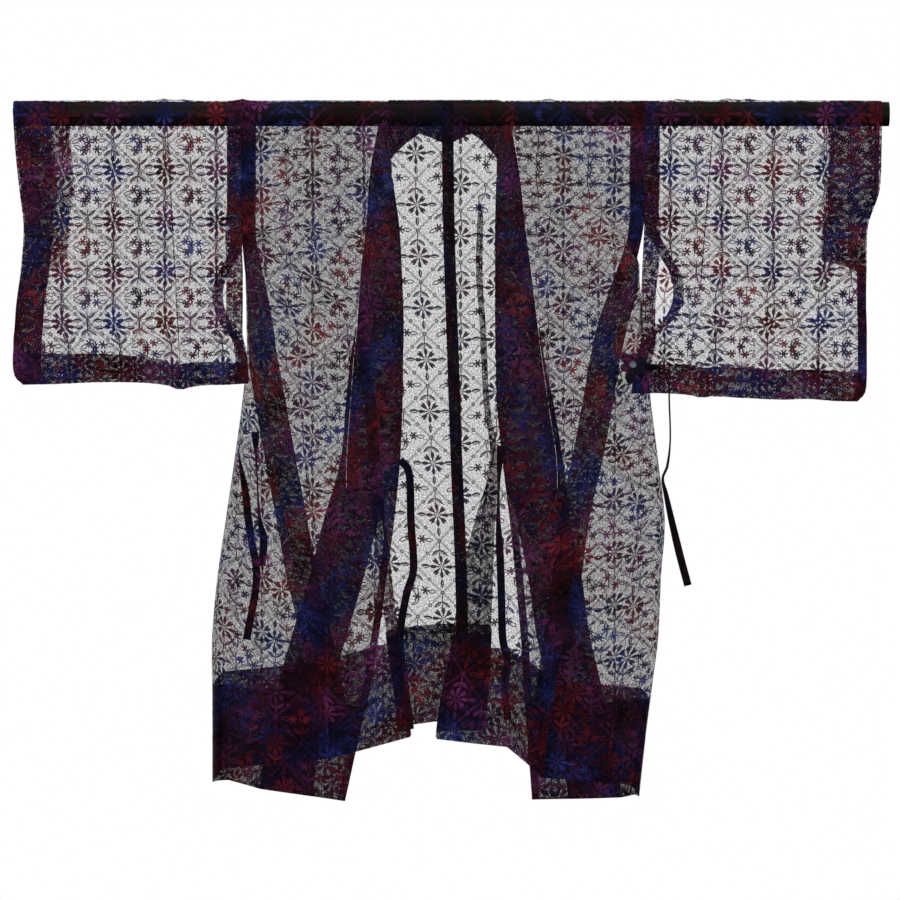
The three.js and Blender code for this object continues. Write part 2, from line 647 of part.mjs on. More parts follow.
/** The display rod, its axis along X. */
function rod() {
  const length = ROD_RIGHT_END - ROD_LEFT_END;
  const geometry = new THREE.CylinderGeometry(ROD_RADIUS, ROD_RADIUS, length, ROD_SIDES);
  geometry.rotateZ(Math.PI / 2);
  geometry.translate((ROD_LEFT_END + ROD_RIGHT_END) / 2, 0, 0);
  return geometry;
}

const netCloth = { color: 0x1d1a2c, roughness: 0.75, metalness: 0 };
const tieCloth = { color: 0x14131c, roughness: 0.7, metalness: 0 };
const darkWood = { color: 0x1b1613, roughness: 0.45, metalness: 0 };

const coat = new THREE.Group();

/** Adds a piece under its own name, in a material of its own. */
function addPiece(name, geometry, finish) {
  const mesh = new THREE.Mesh(geometry, new THREE.MeshStandardMaterial(finish));
  mesh.name = name;
  coat.add(mesh);
}

addPiece('rod', rod(), darkWood);
addPiece('body_left', bodyLength(LEFT), netCloth);
addPiece('body_right', bodyLength(RIGHT), netCloth);
addPiece('overlap_left', overlapPanel(LEFT), netCloth);
addPiece('overlap_right', overlapPanel(RIGHT), netCloth);
addPiece('collar', collar(), netCloth);
addPiece('sleeve_left', sleeve(LEFT_SLEEVE), netCloth);
addPiece('sleeve_right', sleeve(RIGHT_SLEEVE), netCloth);
Object.entries(TIES).forEach(([name, route]) => addPiece(name, tie(route), tieCloth));
addPiece('knot', rosetteKnot(), tieCloth);

export default coat;
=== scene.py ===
"""A sheer summer kimono coat hung on a display rod with its back to the viewer, dressed for rendering.

Lengths in the tables are millimetres, and every mesh is made in metres. The origin is the middle of the rod.
-Y is the near side, where the back of the coat hangs, and +Y the far side, where the fronts, their overlaps
and the collar hang. A level is a distance down from the rod's axis, and "out" is a distance from the middle of
the coat. Every piece of cloth is an open sheet with its own turned-up hems, allowances and folds as further
layers, and its UV map "cloth" measures the cloth in metres.
"""

import logging
import math
from collections.abc import Callable, Sequence
from dataclasses import dataclass, field
from enum import Enum
from functools import reduce
from typing import Any, Protocol

import bpy
import numpy as np
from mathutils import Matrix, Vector


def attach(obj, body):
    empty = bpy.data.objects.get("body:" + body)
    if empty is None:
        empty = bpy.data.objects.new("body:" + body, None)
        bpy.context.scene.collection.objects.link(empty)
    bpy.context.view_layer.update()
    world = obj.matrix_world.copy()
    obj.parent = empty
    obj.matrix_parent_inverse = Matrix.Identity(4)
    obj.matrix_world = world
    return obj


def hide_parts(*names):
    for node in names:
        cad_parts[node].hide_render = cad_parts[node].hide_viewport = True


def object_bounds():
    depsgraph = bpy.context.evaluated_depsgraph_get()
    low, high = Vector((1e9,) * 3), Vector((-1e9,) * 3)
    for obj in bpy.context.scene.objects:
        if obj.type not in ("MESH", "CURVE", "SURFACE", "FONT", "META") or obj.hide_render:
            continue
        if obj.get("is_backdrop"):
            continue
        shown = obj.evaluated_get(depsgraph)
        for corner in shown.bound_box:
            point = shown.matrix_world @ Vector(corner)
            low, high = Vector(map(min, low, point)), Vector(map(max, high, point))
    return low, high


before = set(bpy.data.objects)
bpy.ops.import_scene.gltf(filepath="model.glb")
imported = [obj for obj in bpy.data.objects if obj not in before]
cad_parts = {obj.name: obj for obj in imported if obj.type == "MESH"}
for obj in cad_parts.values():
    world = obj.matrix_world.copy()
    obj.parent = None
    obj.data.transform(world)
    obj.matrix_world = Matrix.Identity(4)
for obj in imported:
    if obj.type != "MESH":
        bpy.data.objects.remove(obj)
CAD_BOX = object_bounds()

LOG = logging.getLogger("coat")
MM = 0.001

DRAPE_RADIUS = 20.7
QUARTER = math.pi / 2 * DRAPE_RADIUS
SEAM_GAP = 0.4

BODY_LENGTH = 960.0
TURN_UP_DEPTH = 150.0
TURN_UP_TOP = BODY_LENGTH - TURN_UP_DEPTH
ARMHOLE_DEPTH = 172.0
SIDE_SEAM_TOP = 330.0
SIDE_SEAM_DEPTH = 9.0
SIDE_SEAM_ON_BACK = 560.0
COLLAR_END = 540.0

PLEAT_SPACING = 4.6
PLEAT_UNFOLDED = -20.0
PLEAT_STEPS = 8
PLEAT_SPREAD = 10.0
SEAM_BAND_WIDTH = 10.0
ROD_STEPS = 20

FLAT_CELLS, FOLD_CELLS, WEDGE_CELLS = 12, 14, 12
SHOULDER_CELLS = FLAT_CELLS + FOLD_CELLS + WEDGE_CELLS

LAYER_GAP = 0.55
LAYER_SLIP = 11.0
SEAM_LAP = 0.5
PATTERN_REPEAT = 80.0
MERGE_DISTANCE = 0.00002
TURN_UP_CELLS, TURN_UP_LAYERS = 16, 3

WRAP_START, WRAP_END = ARMHOLE_DEPTH - 24, ARMHOLE_DEPTH + 66
FOLD_TURN = 24.0
FOLD_ROOM = 20.0
NEAR_TURN_SHARE, NEAR_TURN_LEAST = 0.6, 3.0
CREASE_FADE_IN, CREASE_FADE_OUT = (-0.08, 0.18), (0.75, 1.08)
NEAR_FLARE, NEAR_FOLD_LEVELS = 0.018, (200, 800)
FAR_FLARE, FAR_FOLD_LEVELS = 0.02, (150, 750)

Array = np.ndarray
Colour = tuple[float, float, float]
Place = Callable[[Array], tuple[Array, Array]]
Socket = bpy.types.NodeSocket


def lerp(start: Any, end: Any, share: Any) -> Any:
    """Value a share of the way from start to end."""
    return start + (end - start) * share


def rise(start: float, end: float, value: Any) -> Any:
    """Smooth step from 0 at start to 1 at end."""
    share = np.clip((np.asarray(value, float) - start) / (end - start), 0, 1)
    return share * share * (3 - 2 * share)


def linear(red: int, green: int, blue: int) -> Colour:
    """A display colour in linear light."""
    values = (v / 255 for v in (red, green, blue))
    return tuple(v / 12.92 if v <= 0.04045 else ((v + 0.055) / 1.055) ** 2.4 for v in values)


class SectionTable:
    """Smooth functions of the first column of a table, one for each other column."""

    def __init__(self, columns: Sequence[str], rows: Sequence[Sequence[float]]) -> None:
        """Keeps the table.

        Args:
            columns: Names of the columns.
            rows: One row for each section, in rising order of the first column.
        """
        values = np.array(rows, float)
        self.keys = values[:, 0]
        self.columns = {name: values[:, n + 1] for n, name in enumerate(columns[1:])}

    def at(self, name: str, key: Any) -> Array:
        """Value of a column at one or more keys.

        Args:
            name: Name of the column.
            key: Keys in the first column's unit.

        Returns:
            The values, with the shape of key.
        """
        keys, values = self.keys, self.columns[name]
        key = np.asarray(key, float)
        index = np.clip(np.searchsorted(keys, key, side="right") - 1, 0, len(keys) - 2)
        before = np.maximum(np.arange(len(keys)) - 1, 0)
        after = np.minimum(np.arange(len(keys)) + 1, len(keys) - 1)
        slope = (values[after] - values[before]) / (keys[after] - keys[before])
        span = keys[index + 1] - keys[index]
        t = np.clip((key - keys[index]) / span, 0, 1)
        bend = t * t * (3 - 2 * t)
        start = slope[index] * span * t * (1 - t) ** 2
        end = slope[index + 1] * span * t * t * (1 - t)
        return lerp(values[index], values[index + 1], bend) + start - end


@dataclass(frozen=True)
class Crease:
    """A soft trough or ridge in a hanging layer, from one point to another, in out and level."""

    start: tuple[float, float]
    end: tuple[float, float]
    width: float
    height: float

    def at(self, x: Array, level: Array) -> Array:
        """Height of the crease.

        Args:
            x: Distances to the right of the middle of the coat.
            level: Levels.

        Returns:
            Height at each point.
        """
        run = self.end[1] - self.start[1]
        share = (level - self.start[1]) / run
        line = lerp(self.start[0], self.end[0], np.clip(share, 0, 1))
        ends = rise(*CREASE_FADE_IN, share) * (1 - rise(*CREASE_FADE_OUT, share))
        return self.height * ends * np.exp(-(((x - line) / self.width) ** 2))


NEAR_CREASES = (
    Crease((-196, 10), (-172, 330), 9, 2.6),
    Crease((-262, 30), (-236, 300), 12, -2.2),
    Crease((-140, 60), (-150, 420), 14, 2.0),
    Crease((150, 12), (128, 380), 10, 2.4),
    Crease((212, 20), (178, 520), 13, -2.6),
    Crease((262, 16), (216, 330), 9, 2.2),
    Crease((-212, 420), (-160, 905), 16, 3.4),
    Crease((-120, 520), (-96, 960), 15, -3.0),
    Crease((-30, 560), (-34, 950), 13, 2.6),
    Crease((120, 560), (140, 980), 17, 3.2),
    Crease((210, 640), (232, 1010), 15, -2.8),
    Crease((280, 560), (284, 1000), 13, 2.6),
    Crease((30, 120), (44, 560), 8, 1.6),
)

FAR_CREASES = (
    Crease((-180, 12), (-204, 420), 12, 2.6),
    Crease((-246, 24), (-262, 360), 10, -2.4),
    Crease((170, 14), (196, 400), 12, 2.8),
    Crease((242, 20), (252, 330), 10, -2.0),
    Crease((-236, 480), (-268, 960), 16, 3.6),
    Crease((-176, 600), (-214, 1040), 15, -3.0),
    Crease((206, 500), (238, 980), 15, 3.4),
    Crease((142, 600), (170, 1040), 14, -3.0),
)


def swell(x: Array, level: Array, creases: Sequence[Crease]) -> Array:
    """Sum of the creases of a layer at each point."""
    return sum((crease.at(x, level) for crease in creases), np.zeros(np.broadcast(x, level).shape))


def near_depth(x: Array, level: Array) -> Array:
    """Distance of the near layer from the rod's plane."""
    folds = 5 * np.sin(x / 52 + 0.6) + 3 * np.sin(x / 23 + level / 160)
    return DRAPE_RADIUS + NEAR_FLARE * level + rise(*NEAR_FOLD_LEVELS, level) * folds + swell(x, level, NEAR_CREASES)


def far_depth(x: Array, level: Array) -> Array:
    """Distance of the far layer from the rod's plane."""
    folds = 6 * np.sin(x / 60 + 1.1) + 3 * np.cos(x / 27 - level / 190)
    return DRAPE_RADIUS + FAR_FLARE * level + rise(*FAR_FOLD_LEVELS, level) * folds + swell(x, level, FAR_CREASES)


def level_on_line(row_level: Array, hem: Any) -> Array:
    """Level of a row on a line that hangs to its own hem."""
    return row_level + (hem - BODY_LENGTH) * rise(SIDE_SEAM_TOP, TURN_UP_TOP - 2, row_level)


def cross_rows(start: float, end: float, step: float = 9.0) -> Array:
    """Levels of the cross rows of a body piece from start to end, with the levels where its cut changes."""
    marks = [start, end] + [m for m in (ARMHOLE_DEPTH, SIDE_SEAM_TOP, COLLAR_END, TURN_UP_TOP) if start < m < end]
    marks.sort()
    runs = [np.linspace(a, b, max(2, round((b - a) / step)), endpoint=False) for a, b in zip(marks, marks[1:])]
    return np.concatenate([*runs, [end]])


class Edge(Enum):
    """An edge of a grid of cloth, from which a strip is folded in."""

    FIRST_ROW = "first row"
    LAST_ROW = "last row"
    FIRST_COLUMN = "first column"
    LAST_COLUMN = "last column"


@dataclass
class Cloth:
    """A grid of cloth: points in millimetres, and the cloth's own measures across and along."""

    points: Array
    across: Array
    along: Array
    keep: Array | None = None

    def part(self, rows: slice, columns: slice) -> "Cloth":
        """The grid's part between some rows and columns.

        Args:
            rows: Rows kept.
            columns: Columns kept.

        Returns:
            The smaller grid.
        """
        return Cloth(self.points[rows, columns], self.across[rows, columns], self.along[rows, columns])

    def normals(self) -> Array:
        """Unit normal at each point, from the directions along and across the grid."""
        down = np.gradient(self.points, axis=0)
        over = np.gradient(self.points, axis=1)
        normal = np.cross(down, over)
        return normal / np.maximum(np.linalg.norm(normal, axis=2, keepdims=True), 1e-9)

    def moved(self, distance: float) -> "Cloth":
        """A copy moved along its normals."""
        return Cloth(self.points + distance * self.normals(), self.across, self.along, self.keep)

    def folded_in(
        self, edge: Edge, width: Any, cells: int, distance: float, turns: int, lap: float = 0.0,
    ) -> "Cloth":
        """A strip folded in at an edge, which lies on the grid.

        Args:
            edge: The edge that the strip is folded at.
            width: Width of the strip, one value or one for each row or column along the edge.
            cells: Cells across the strip.
            distance: Distance of the strip from the grid, along its normals.
            turns: How often the cloth has been folded over by this strip, which sets its pattern.
            lap: How far the strip reaches past the edge, over a seam.

        Returns:
            The strip, as a grid of its own.
        """
        base = self.points + distance * self.normals()
        across, along = self.across, self.along
        if edge in (Edge.FIRST_ROW, Edge.LAST_ROW):
            base = base.transpose(1, 0, 2)
            across, along = along.T, across.T
        if edge in (Edge.LAST_ROW, Edge.LAST_COLUMN):
            base, across, along = base[:, ::-1], across[:, ::-1], along[:, ::-1]
        if lap:
            beyond = base[:, :1] - base[:, 1:2]
            base = base + lap * beyond / np.maximum(np.linalg.norm(beyond, axis=2, keepdims=True), 0.01)
        steps = np.linalg.norm(np.diff(base, axis=1), axis=2)
        reach = np.concatenate([np.zeros((len(base), 1)), np.cumsum(steps, axis=1)], axis=1)
        widths = np.broadcast_to(np.asarray(width, float), (len(base),))
        shape = (len(base), cells + 1)
        points, own, other = np.zeros((*shape, 3)), np.zeros(shape), np.zeros(shape)
        for row in range(len(base)):
            wanted = np.minimum(np.linspace(0, widths[row], cells + 1), reach[row, -1])
            for axis in range(3):
                points[row, :, axis] = np.interp(wanted, reach[row], base[row, :, axis])
            growth = np.interp(wanted, reach[row], across[row]) - across[row, 0]
            fold = across[row, 0] - growth if turns % 2 else across[row, 0] + growth
            own[row] = fold - np.sign(growth[-1]) * 2 * widths[row] * (turns // 2)
            other[row] = np.interp(wanted, reach[row], along[row]) + LAYER_SLIP * turns
        if edge in (Edge.FIRST_ROW, Edge.LAST_ROW):
            return Cloth(points.transpose(1, 0, 2), other.T, own.T)
        return Cloth(points, own, other)

    def hem(
        self, edge: Edge, width: Any, cells: int, distance: float, turns: int, lap: float = 0.0,
    ) -> list["Cloth"]:
        """Strips of a hem that is folded over several times.

        Args:
            edge: The hem's edge.
            width: Width of the hem, one value or one for each point along the edge.
            cells: Cells across it.
            distance: Distance between its layers, negative to lie on the other side of the cloth.
            turns: Number of layers that it adds.
            lap: How far its layers reach past the edge, over a seam.

        Returns:
            One strip for each layer.
        """
        return [self.folded_in(edge, width, cells, distance * (turn + 1), turn + 1, lap) for turn in range(turns)]


def cloth_measures(points: Array, start: Array, top: int) -> tuple[Array, Array]:
    """The cloth's own measures at the points of a grid.

    Args:
        points: The grid's points.
        start: Measure across the cloth at the first column of each row.
        top: Row from which the cloth is measured along.

    Returns:
        The measures across and along.
    """
    side = np.linalg.norm(np.diff(points, axis=1), axis=2)
    across = start[:, None] + np.concatenate([np.zeros((len(points), 1)), np.cumsum(side, axis=1)], axis=1)
    down = np.linalg.norm(np.diff(points, axis=0), axis=2)
    along = np.concatenate([np.zeros((1, points.shape[1])), np.cumsum(down, axis=0)], axis=0)
    return across, along - along[top]


def make_piece(name: str, grids: Sequence[Cloth]) -> bpy.types.Object:
    """An object of one or more grids of cloth, with the UV map "cloth" in metres.

    Args:
        name: Name of the piece.
        grids: Its layers.

    Returns:
        The object, linked to the scene.
    """
    corners, faces, measures = [], [], []
    first = 0
    for grid in grids:
        rows, columns = grid.across.shape
        number = first + np.arange(rows * columns).reshape(rows, columns)
        cells = np.stack([number[:-1, :-1], number[1:, :-1], number[1:, 1:], number[:-1, 1:]], axis=-1).reshape(-1, 4)
        if grid.keep is not None:
            cells = cells[grid.keep.reshape(-1)]
        corners.append(grid.points.reshape(-1, 3) * MM)
        measures.append(np.stack([grid.across, grid.along], axis=-1).reshape(-1, 2) * MM)
        faces.append(cells)
        first += rows * columns
    cells, places, values = np.concatenate(faces), np.concatenate(corners), np.concatenate(measures)
    used, compact = np.unique(cells, return_inverse=True)
    compact = compact.reshape(cells.shape)
    mesh = bpy.data.meshes.new(name)
    mesh.from_pydata(places[used].tolist(), [], compact.tolist())
    uv = mesh.uv_layers.new(name="cloth")
    uv.data.foreach_set("uv", values[used][compact.reshape(-1)].astype(np.float32).reshape(-1))
    mesh.polygons.foreach_set("use_smooth", np.ones(len(mesh.polygons), bool))
    mesh.update()
    piece = bpy.data.objects.new(name, mesh)
    bpy.context.scene.collection.objects.link(piece)
    return piece


def area_of(piece: bpy.types.Object) -> float:
    """Area of a piece's faces in square metres."""
    return sum(face.area for face in piece.data.polygons)


class NodeSketch:
    """Writes nodes into a node tree."""

    def __init__(self, tree: bpy.types.NodeTree) -> None:
        """Keeps the tree."""
        self.tree = tree

    def feed(self, socket: Socket, value: Any) -> None:
        """Links a value to a socket, or sets it there."""
        if isinstance(value, Socket):
            self.tree.links.new(value, socket)
        else:
            socket.default_value = value

    def fill(self, node: bpy.types.Node, inputs: dict[Any, Any]) -> None:
        """Feeds several inputs of a node, by their names or numbers."""
        for key, value in inputs.items():
            self.feed(node.inputs[key], value)

    def node(self, kind: str, inputs: dict[Any, Any] | None = None, **settings: Any) -> bpy.types.Node:
        """A new node.

        Args:
            kind: Blender's name of the node.
            inputs: Values or sockets for its inputs, by their names or numbers.
            settings: Its properties.

        Returns:
            The node.
        """
        made = self.tree.nodes.new(kind)
        for key, value in settings.items():
            setattr(made, key, value)
        self.fill(made, inputs or {})
        return made

    def math(self, operation: str, *values: Any, clamp: bool = False) -> Socket:
        """Result of a math operation on sockets or numbers.

        Args:
            operation: Blender's name of the operation.
            values: Up to three inputs.
            clamp: Whether the result is kept between 0 and 1.

        Returns:
            The socket that holds it.
        """
        return self.node("ShaderNodeMath", dict(enumerate(values)), operation=operation, use_clamp=clamp).outputs[0]

    def add(self, a: Any, b: Any) -> Socket:
        """Sum of two values."""
        return self.math("ADD", a, b)

    def sub(self, a: Any, b: Any) -> Socket:
        """Difference of two values."""
        return self.math("SUBTRACT", a, b)

    def mul(self, a: Any, b: Any) -> Socket:
        """Product of two values."""
        return self.math("MULTIPLY", a, b)

    def scaled(self, a: Any, factor: Any, offset: Any, clamp: bool = False) -> Socket:
        """A value times a factor plus an offset."""
        return self.math("MULTIPLY_ADD", a, factor, offset, clamp=clamp)

    def most(self, *values: Any) -> Socket:
        """Largest of several values."""
        return reduce(lambda a, b: self.math("MAXIMUM", a, b), values)

    def least(self, *values: Any) -> Socket:
        """Smallest of several values."""
        return reduce(lambda a, b: self.math("MINIMUM", a, b), values)

    def size(self, a: Any) -> Socket:
        """Absolute value."""
        return self.math("ABSOLUTE", a)

    def wrapped(self, a: Any, half: float) -> Socket:
        """A value wrapped into the span from minus half to half."""
        return self.math("WRAP", a, half, -half)

    def length(self, a: Any, b: Any) -> Socket:
        """Length of a vector in the plane."""
        both = self.node("ShaderNodeCombineXYZ", {0: a, 1: b})
        return self.node("ShaderNodeVectorMath", {0: both.outputs[0]}, operation="LENGTH").outputs["Value"]

    def parts(self, vector: Socket) -> tuple[Socket, Socket, Socket]:
        """The three parts of a vector."""
        return tuple(self.node("ShaderNodeSeparateXYZ", {0: vector}).outputs)

    def inside(self, distance: Any, soft: float = 0.6, grow: float = 0.35) -> Socket:
        """Mask that is 1 where a distance is below the growth of the threads, with a soft edge."""
        return self.scaled(distance, -1 / soft, 0.5 + grow / soft, clamp=True)

    def stroke(self, distance: Any, half_width: float) -> Socket:
        """Distance from a line of some half width, from the distance to its middle."""
        return self.sub(self.size(distance), half_width)

    def span(self, value: Any, middle: float, half_width: float) -> Socket:
        """Distance from a span of some half width about its middle."""
        return self.stroke(self.add(value, -middle), half_width)

    def noise(self, place: Socket, scale: float, detail: float, dimensions: str = "3D") -> Socket:
        """Value of a noise texture.

        Args:
            place: Where it is taken.
            scale: Its scale.
            detail: Number of finer noises in it.
            dimensions: 2D or 3D.

        Returns:
            The socket that holds it.
        """
        inputs = {"Vector": place, "Scale": scale, "Detail": detail}
        return self.node("ShaderNodeTexNoise", inputs, noise_dimensions=dimensions).outputs["Fac"]

    def mixed(self, share: Any, first: Any, second: Any) -> Socket:
        """Colour a share of the way from one colour or socket to another."""
        ends = {n: (*end, 1) if isinstance(end, tuple) else end for n, end in ((6, first), (7, second))}
        return self.node("ShaderNodeMix", {"Factor": share, **ends}, data_type="RGBA").outputs[2]

    def bumped(self, height: Socket, strength: float, depth: float) -> Socket:
        """Normal of a surface with small bumps of some depth in metres."""
        return self.node("ShaderNodeBump", {"Height": height, "Strength": strength, "Distance": depth}).outputs[0]

    def cloth_place(self) -> Socket:
        """The cloth's own measures."""
        return self.node("ShaderNodeUVMap", uv_map="cloth").outputs[0]

    def object_place(self) -> Socket:
        """Place in the object's frame."""
        return self.node("ShaderNodeTexCoord").outputs["Object"]


class Dye(Enum):
    """Colours of the dyed threads."""

    BLUE = linear(42, 50, 122)
    RED = linear(116, 30, 40)
    PURPLE = linear(104, 42, 92)


DYE_BANDS = (
    (0.0, Dye.BLUE), (0.27, Dye.BLUE), (0.38, Dye.RED), (0.60, Dye.RED), (0.71, Dye.PURPLE), (0.93, Dye.PURPLE),
    (1.0, Dye.BLUE),
)


@dataclass(frozen=True)
class FlowerLattice:
    """The woven pattern: stars in a diamond lattice, sprays between them, and dyes in slanted bands."""

    repeat: float = PATTERN_REPEAT
    weave_turns: float = 1.5
    weave_depth: float = 0.3
    fleck_scale: float = 420.0
    dye_scale: float = 17.0
    dye_drift: float = 0.16
    name: str = "flower lattice"

    def leaf(
        self, pen: NodeSketch, along: Any, across: Any, half_length: float, half_width: float, line: float = 0.4,
        half_filled: bool = True,
    ) -> Socket:
        """Distance from a pointed leaf, filled on one side of its midrib and outlined on the other.

        Args:
            pen: Where the nodes go.
            along: Distance along the leaf from its middle.
            across: Distance from its midrib.
            half_length: Half of its length.
            half_width: Half of its width.
            line: Half width of its outline.
            half_filled: Whether one half is filled.

        Returns:
            The distance, negative inside.
        """
        share = pen.mul(along, 1 / half_length)
        rim = pen.scaled(pen.mul(share, share), -half_width, half_width)
        past_rim = pen.sub(pen.size(across), rim)
        outline = pen.most(pen.stroke(past_rim, line), pen.scaled(rim, -1.0, -line))
        return pen.least(outline, pen.most(past_rim, across)) if half_filled else outline

    def star(self, pen: NodeSketch, x: Any, y: Any) -> Socket:
        """Mask of the eight-petalled star and its leaves, about its own middle."""
        petal_middle, petal_half, petal_width, corner_growth, taper = 11.6, 5.6, 2.1, 2.2, 0.36
        stalk_middle, stalk_half, stalk_width = 8.0, 4.6, 0.8
        bead_place, bead_radius, ring_radius, ring_line = 4.6, 1.15, 2.0, 0.35
        notch_place, notch_radius, notch_squeeze = 17.6, 3.1, 2.4
        radius = pen.length(x, y)
        angle = pen.math("ARCTAN2", y, x)
        petal = pen.math("PINGPONG", angle, math.pi / 8)
        corner = pen.math("PINGPONG", angle, math.pi / 4)
        px = pen.mul(radius, pen.math("COSINE", petal))
        py = pen.mul(radius, pen.math("SINE", petal))
        long_share = pen.scaled(px, 1 / petal_half, -petal_middle / petal_half)
        wide = pen.mul(pen.scaled(corner, corner_growth, petal_width), pen.scaled(long_share, taper, 1.0))
        wide_share = pen.math("DIVIDE", py, wide)
        blade = pen.scaled(wide_share, wide_share, pen.scaled(long_share, long_share, -1.0))
        stalk = pen.most(pen.add(py, -stalk_width), pen.span(px, stalk_middle, stalk_half))
        bead = pen.sub(pen.length(pen.add(px, -bead_place), py), bead_radius)
        ring = pen.least(bead, pen.span(radius, ring_radius, ring_line))
        notch = pen.sub(notch_radius, pen.length(pen.add(px, -notch_place), pen.mul(py, notch_squeeze)))
        blade = pen.most(blade, pen.mul(pen.math("MINIMUM", notch, pen.scaled(corner, 20.0, -8.0)), 0.3))
        flower = pen.most(pen.inside(blade, 0.16, 0.04), pen.inside(pen.least(stalk, ring), grow=0.15))
        level_leaf = self.leaf(pen, pen.add(pen.size(x), -24.0), pen.add(y, 0.6), 6.6, 2.4)
        hanging_leaf = self.leaf(pen, pen.add(y, -26.0), pen.mul(x, -1.0), 6.2, 2.0)
        return pen.most(flower, pen.inside(pen.least(level_leaf, hanging_leaf)))

    def lattice(self, pen: NodeSketch, x: Any, y: Any) -> Socket:
        """Mask of the diamond lattice's thin leaf lines and small rings."""
        half, root = self.repeat / 2, math.sqrt(0.5)
        line_width, hatch_spacing, hatch_width, hatch_reach = 0.2, 1.5, 0.1, 1.5
        hatched_middle, hatched_half, thin_cover = 15.0, 9.0, 0.62
        ring_radius, ring_line = 2.2, 0.4
        ax, ay = pen.size(x), pen.size(y)
        off = pen.scaled(pen.add(ax, ay), root, -half * root)
        down = pen.size(pen.mul(pen.sub(ax, ay), root))
        slanted = pen.math("PINGPONG", pen.add(down, pen.size(off)), hatch_spacing)
        hatch = pen.most(pen.span(slanted, hatch_spacing / 2, hatch_width), pen.stroke(off, hatch_reach),
                         pen.span(down, hatched_middle, hatched_half))
        ring = pen.span(pen.length(off, down), ring_radius, ring_line)
        thin = pen.mul(pen.inside(pen.least(pen.stroke(off, line_width), hatch)), thin_cover)
        return pen.most(thin, pen.inside(ring))

    def node_arch(self, pen: NodeSketch, x: Any, y: Any) -> Socket:
        """Mask of the ring at each node, and of the stem and the two drooping leaves below it."""
        half = self.repeat / 2
        ring_radius, ring_line = 2.3, 0.5
        stem_lean, stem_line, stem_middle, stem_half = 0.08, 0.45, 13.0, 10.5
        arch_out, arch_down, cosine, sine = 6.4, 18.3, 0.785, 0.62
        haze_cover = 0.35
        column = pen.math("ROUND", pen.mul(x, 1 / half))
        nx = pen.scaled(column, -half, x)
        odd = pen.math("PINGPONG", column, 1.0)
        ny = pen.wrapped(pen.scaled(odd, half, pen.add(y, -half)), half)
        ring = pen.span(pen.length(nx, ny), ring_radius, ring_line)
        stem = pen.most(pen.stroke(pen.scaled(ny, -stem_lean, nx), stem_line), pen.span(ny, stem_middle, stem_half))
        ax = pen.scaled(pen.size(pen.add(nx, -1.4)), 1.0, -arch_out)
        dy = pen.add(ny, -arch_down)
        along = pen.scaled(ax, cosine, pen.mul(dy, sine))
        across = pen.scaled(ax, -sine, pen.mul(dy, cosine))
        arch = self.leaf(pen, along, across, 6.6, 1.7, line=0.35)
        bx, by = pen.scaled(nx, 0.24, -0.3), pen.scaled(ny, 0.15, -3.5)
        haze = pen.math("SUBTRACT", 1.0, pen.scaled(bx, bx, pen.mul(by, by)), clamp=True)
        return pen.most(pen.inside(pen.least(ring, stem, arch)), pen.mul(haze, haze_cover))

    def spray(self, pen: NodeSketch, x: Any, y: Any) -> Socket:
        """Mask of the spray between the stars: three small flowers, their leaves and a hooked leaf."""
        left, upper, lower = (-13.0, -2.0), (7.0, -4.0), (0.0, 8.6)
        flower_radius, petal_radius = 6.3, 0.95
        leaf_x, leaf_y, leaf_turn = 16.5, 0.6, (0.9, 0.43)
        hook_low, hook_out, hook_top = 12.5, 8.6, 7.0
        is_left = pen.math("LESS_THAN", x, -6.5)
        is_low = pen.math("GREATER_THAN", y, 2.65)
        middle_x = pen.scaled(is_low, lower[0] - upper[0], upper[0])
        middle_y = pen.scaled(is_low, lower[1] - upper[1], upper[1])
        fx = pen.sub(x, pen.scaled(is_left, pen.sub(left[0], middle_x), middle_x))
        fy = pen.sub(y, pen.scaled(is_left, pen.sub(left[1], middle_y), middle_y))
        radius = pen.length(fx, fy)
        turn = pen.math("PINGPONG", pen.math("ARCTAN2", fy, fx), math.pi / 6)
        flower = pen.most(pen.scaled(radius, pen.math("SINE", turn), -petal_radius), pen.add(radius, -flower_radius))
        left_leaf = self.leaf(pen, pen.add(x, 23.5), pen.add(y, 1.0), 6.2, 2.6, half_filled=False)
        rx, ry = pen.add(x, -leaf_x), pen.add(y, -leaf_y)
        cosine, sine = leaf_turn
        along, across = pen.scaled(rx, cosine, pen.mul(ry, sine)), pen.scaled(rx, -sine, pen.mul(ry, cosine))
        right_leaf = self.leaf(pen, along, across, 6.4, 2.6, half_filled=False)
        bottom = pen.math("MAXIMUM", pen.add(y, -hook_low), 0.0)
        outer = pen.span(pen.length(pen.add(x, -7.5), bottom), 9.3, 0.4)
        outer = pen.most(outer, pen.add(x, -hook_out), pen.scaled(y, -1.0, -hook_top))
        inner = pen.span(pen.length(pen.add(x, -12.0), pen.add(y, -12.0)), 10.0, 0.3)
        inner = pen.most(inner, pen.add(x, -9.7), pen.scaled(y, -1.0, 11.0))
        return pen.inside(pen.least(flower, left_leaf, right_leaf, outer, inner))

    def dye(self, pen: NodeSketch, x: Any, y: Any, noise: Any) -> Socket:
        """Colour of the threads: blue, red and purple bands that run from upper left to lower right."""
        drift = pen.scaled(noise, self.dye_drift, -self.dye_drift / 2)
        slant = pen.scaled(pen.sub(y, x), 1 / (3 * self.repeat), drift)
        ramp = pen.node("ShaderNodeValToRGB", {0: pen.math("FRACT", pen.add(slant, 1 / 6))})
        elements = ramp.color_ramp.elements
        (elements[0].position, first), (elements[1].position, last) = DYE_BANDS[0], DYE_BANDS[-1]
        elements[0].color, elements[1].color = (*first.value, 1), (*last.value, 1)
        for position, dye in DYE_BANDS[1:-1]:
            elements.new(position).color = (*dye.value, 1)
        depth = pen.math("POWER", pen.scaled(noise, 1.9, -0.25), 1.6)
        return pen.node("ShaderNodeVectorMath", {0: ramp.outputs[0], "Scale": depth}, operation="SCALE").outputs[0]

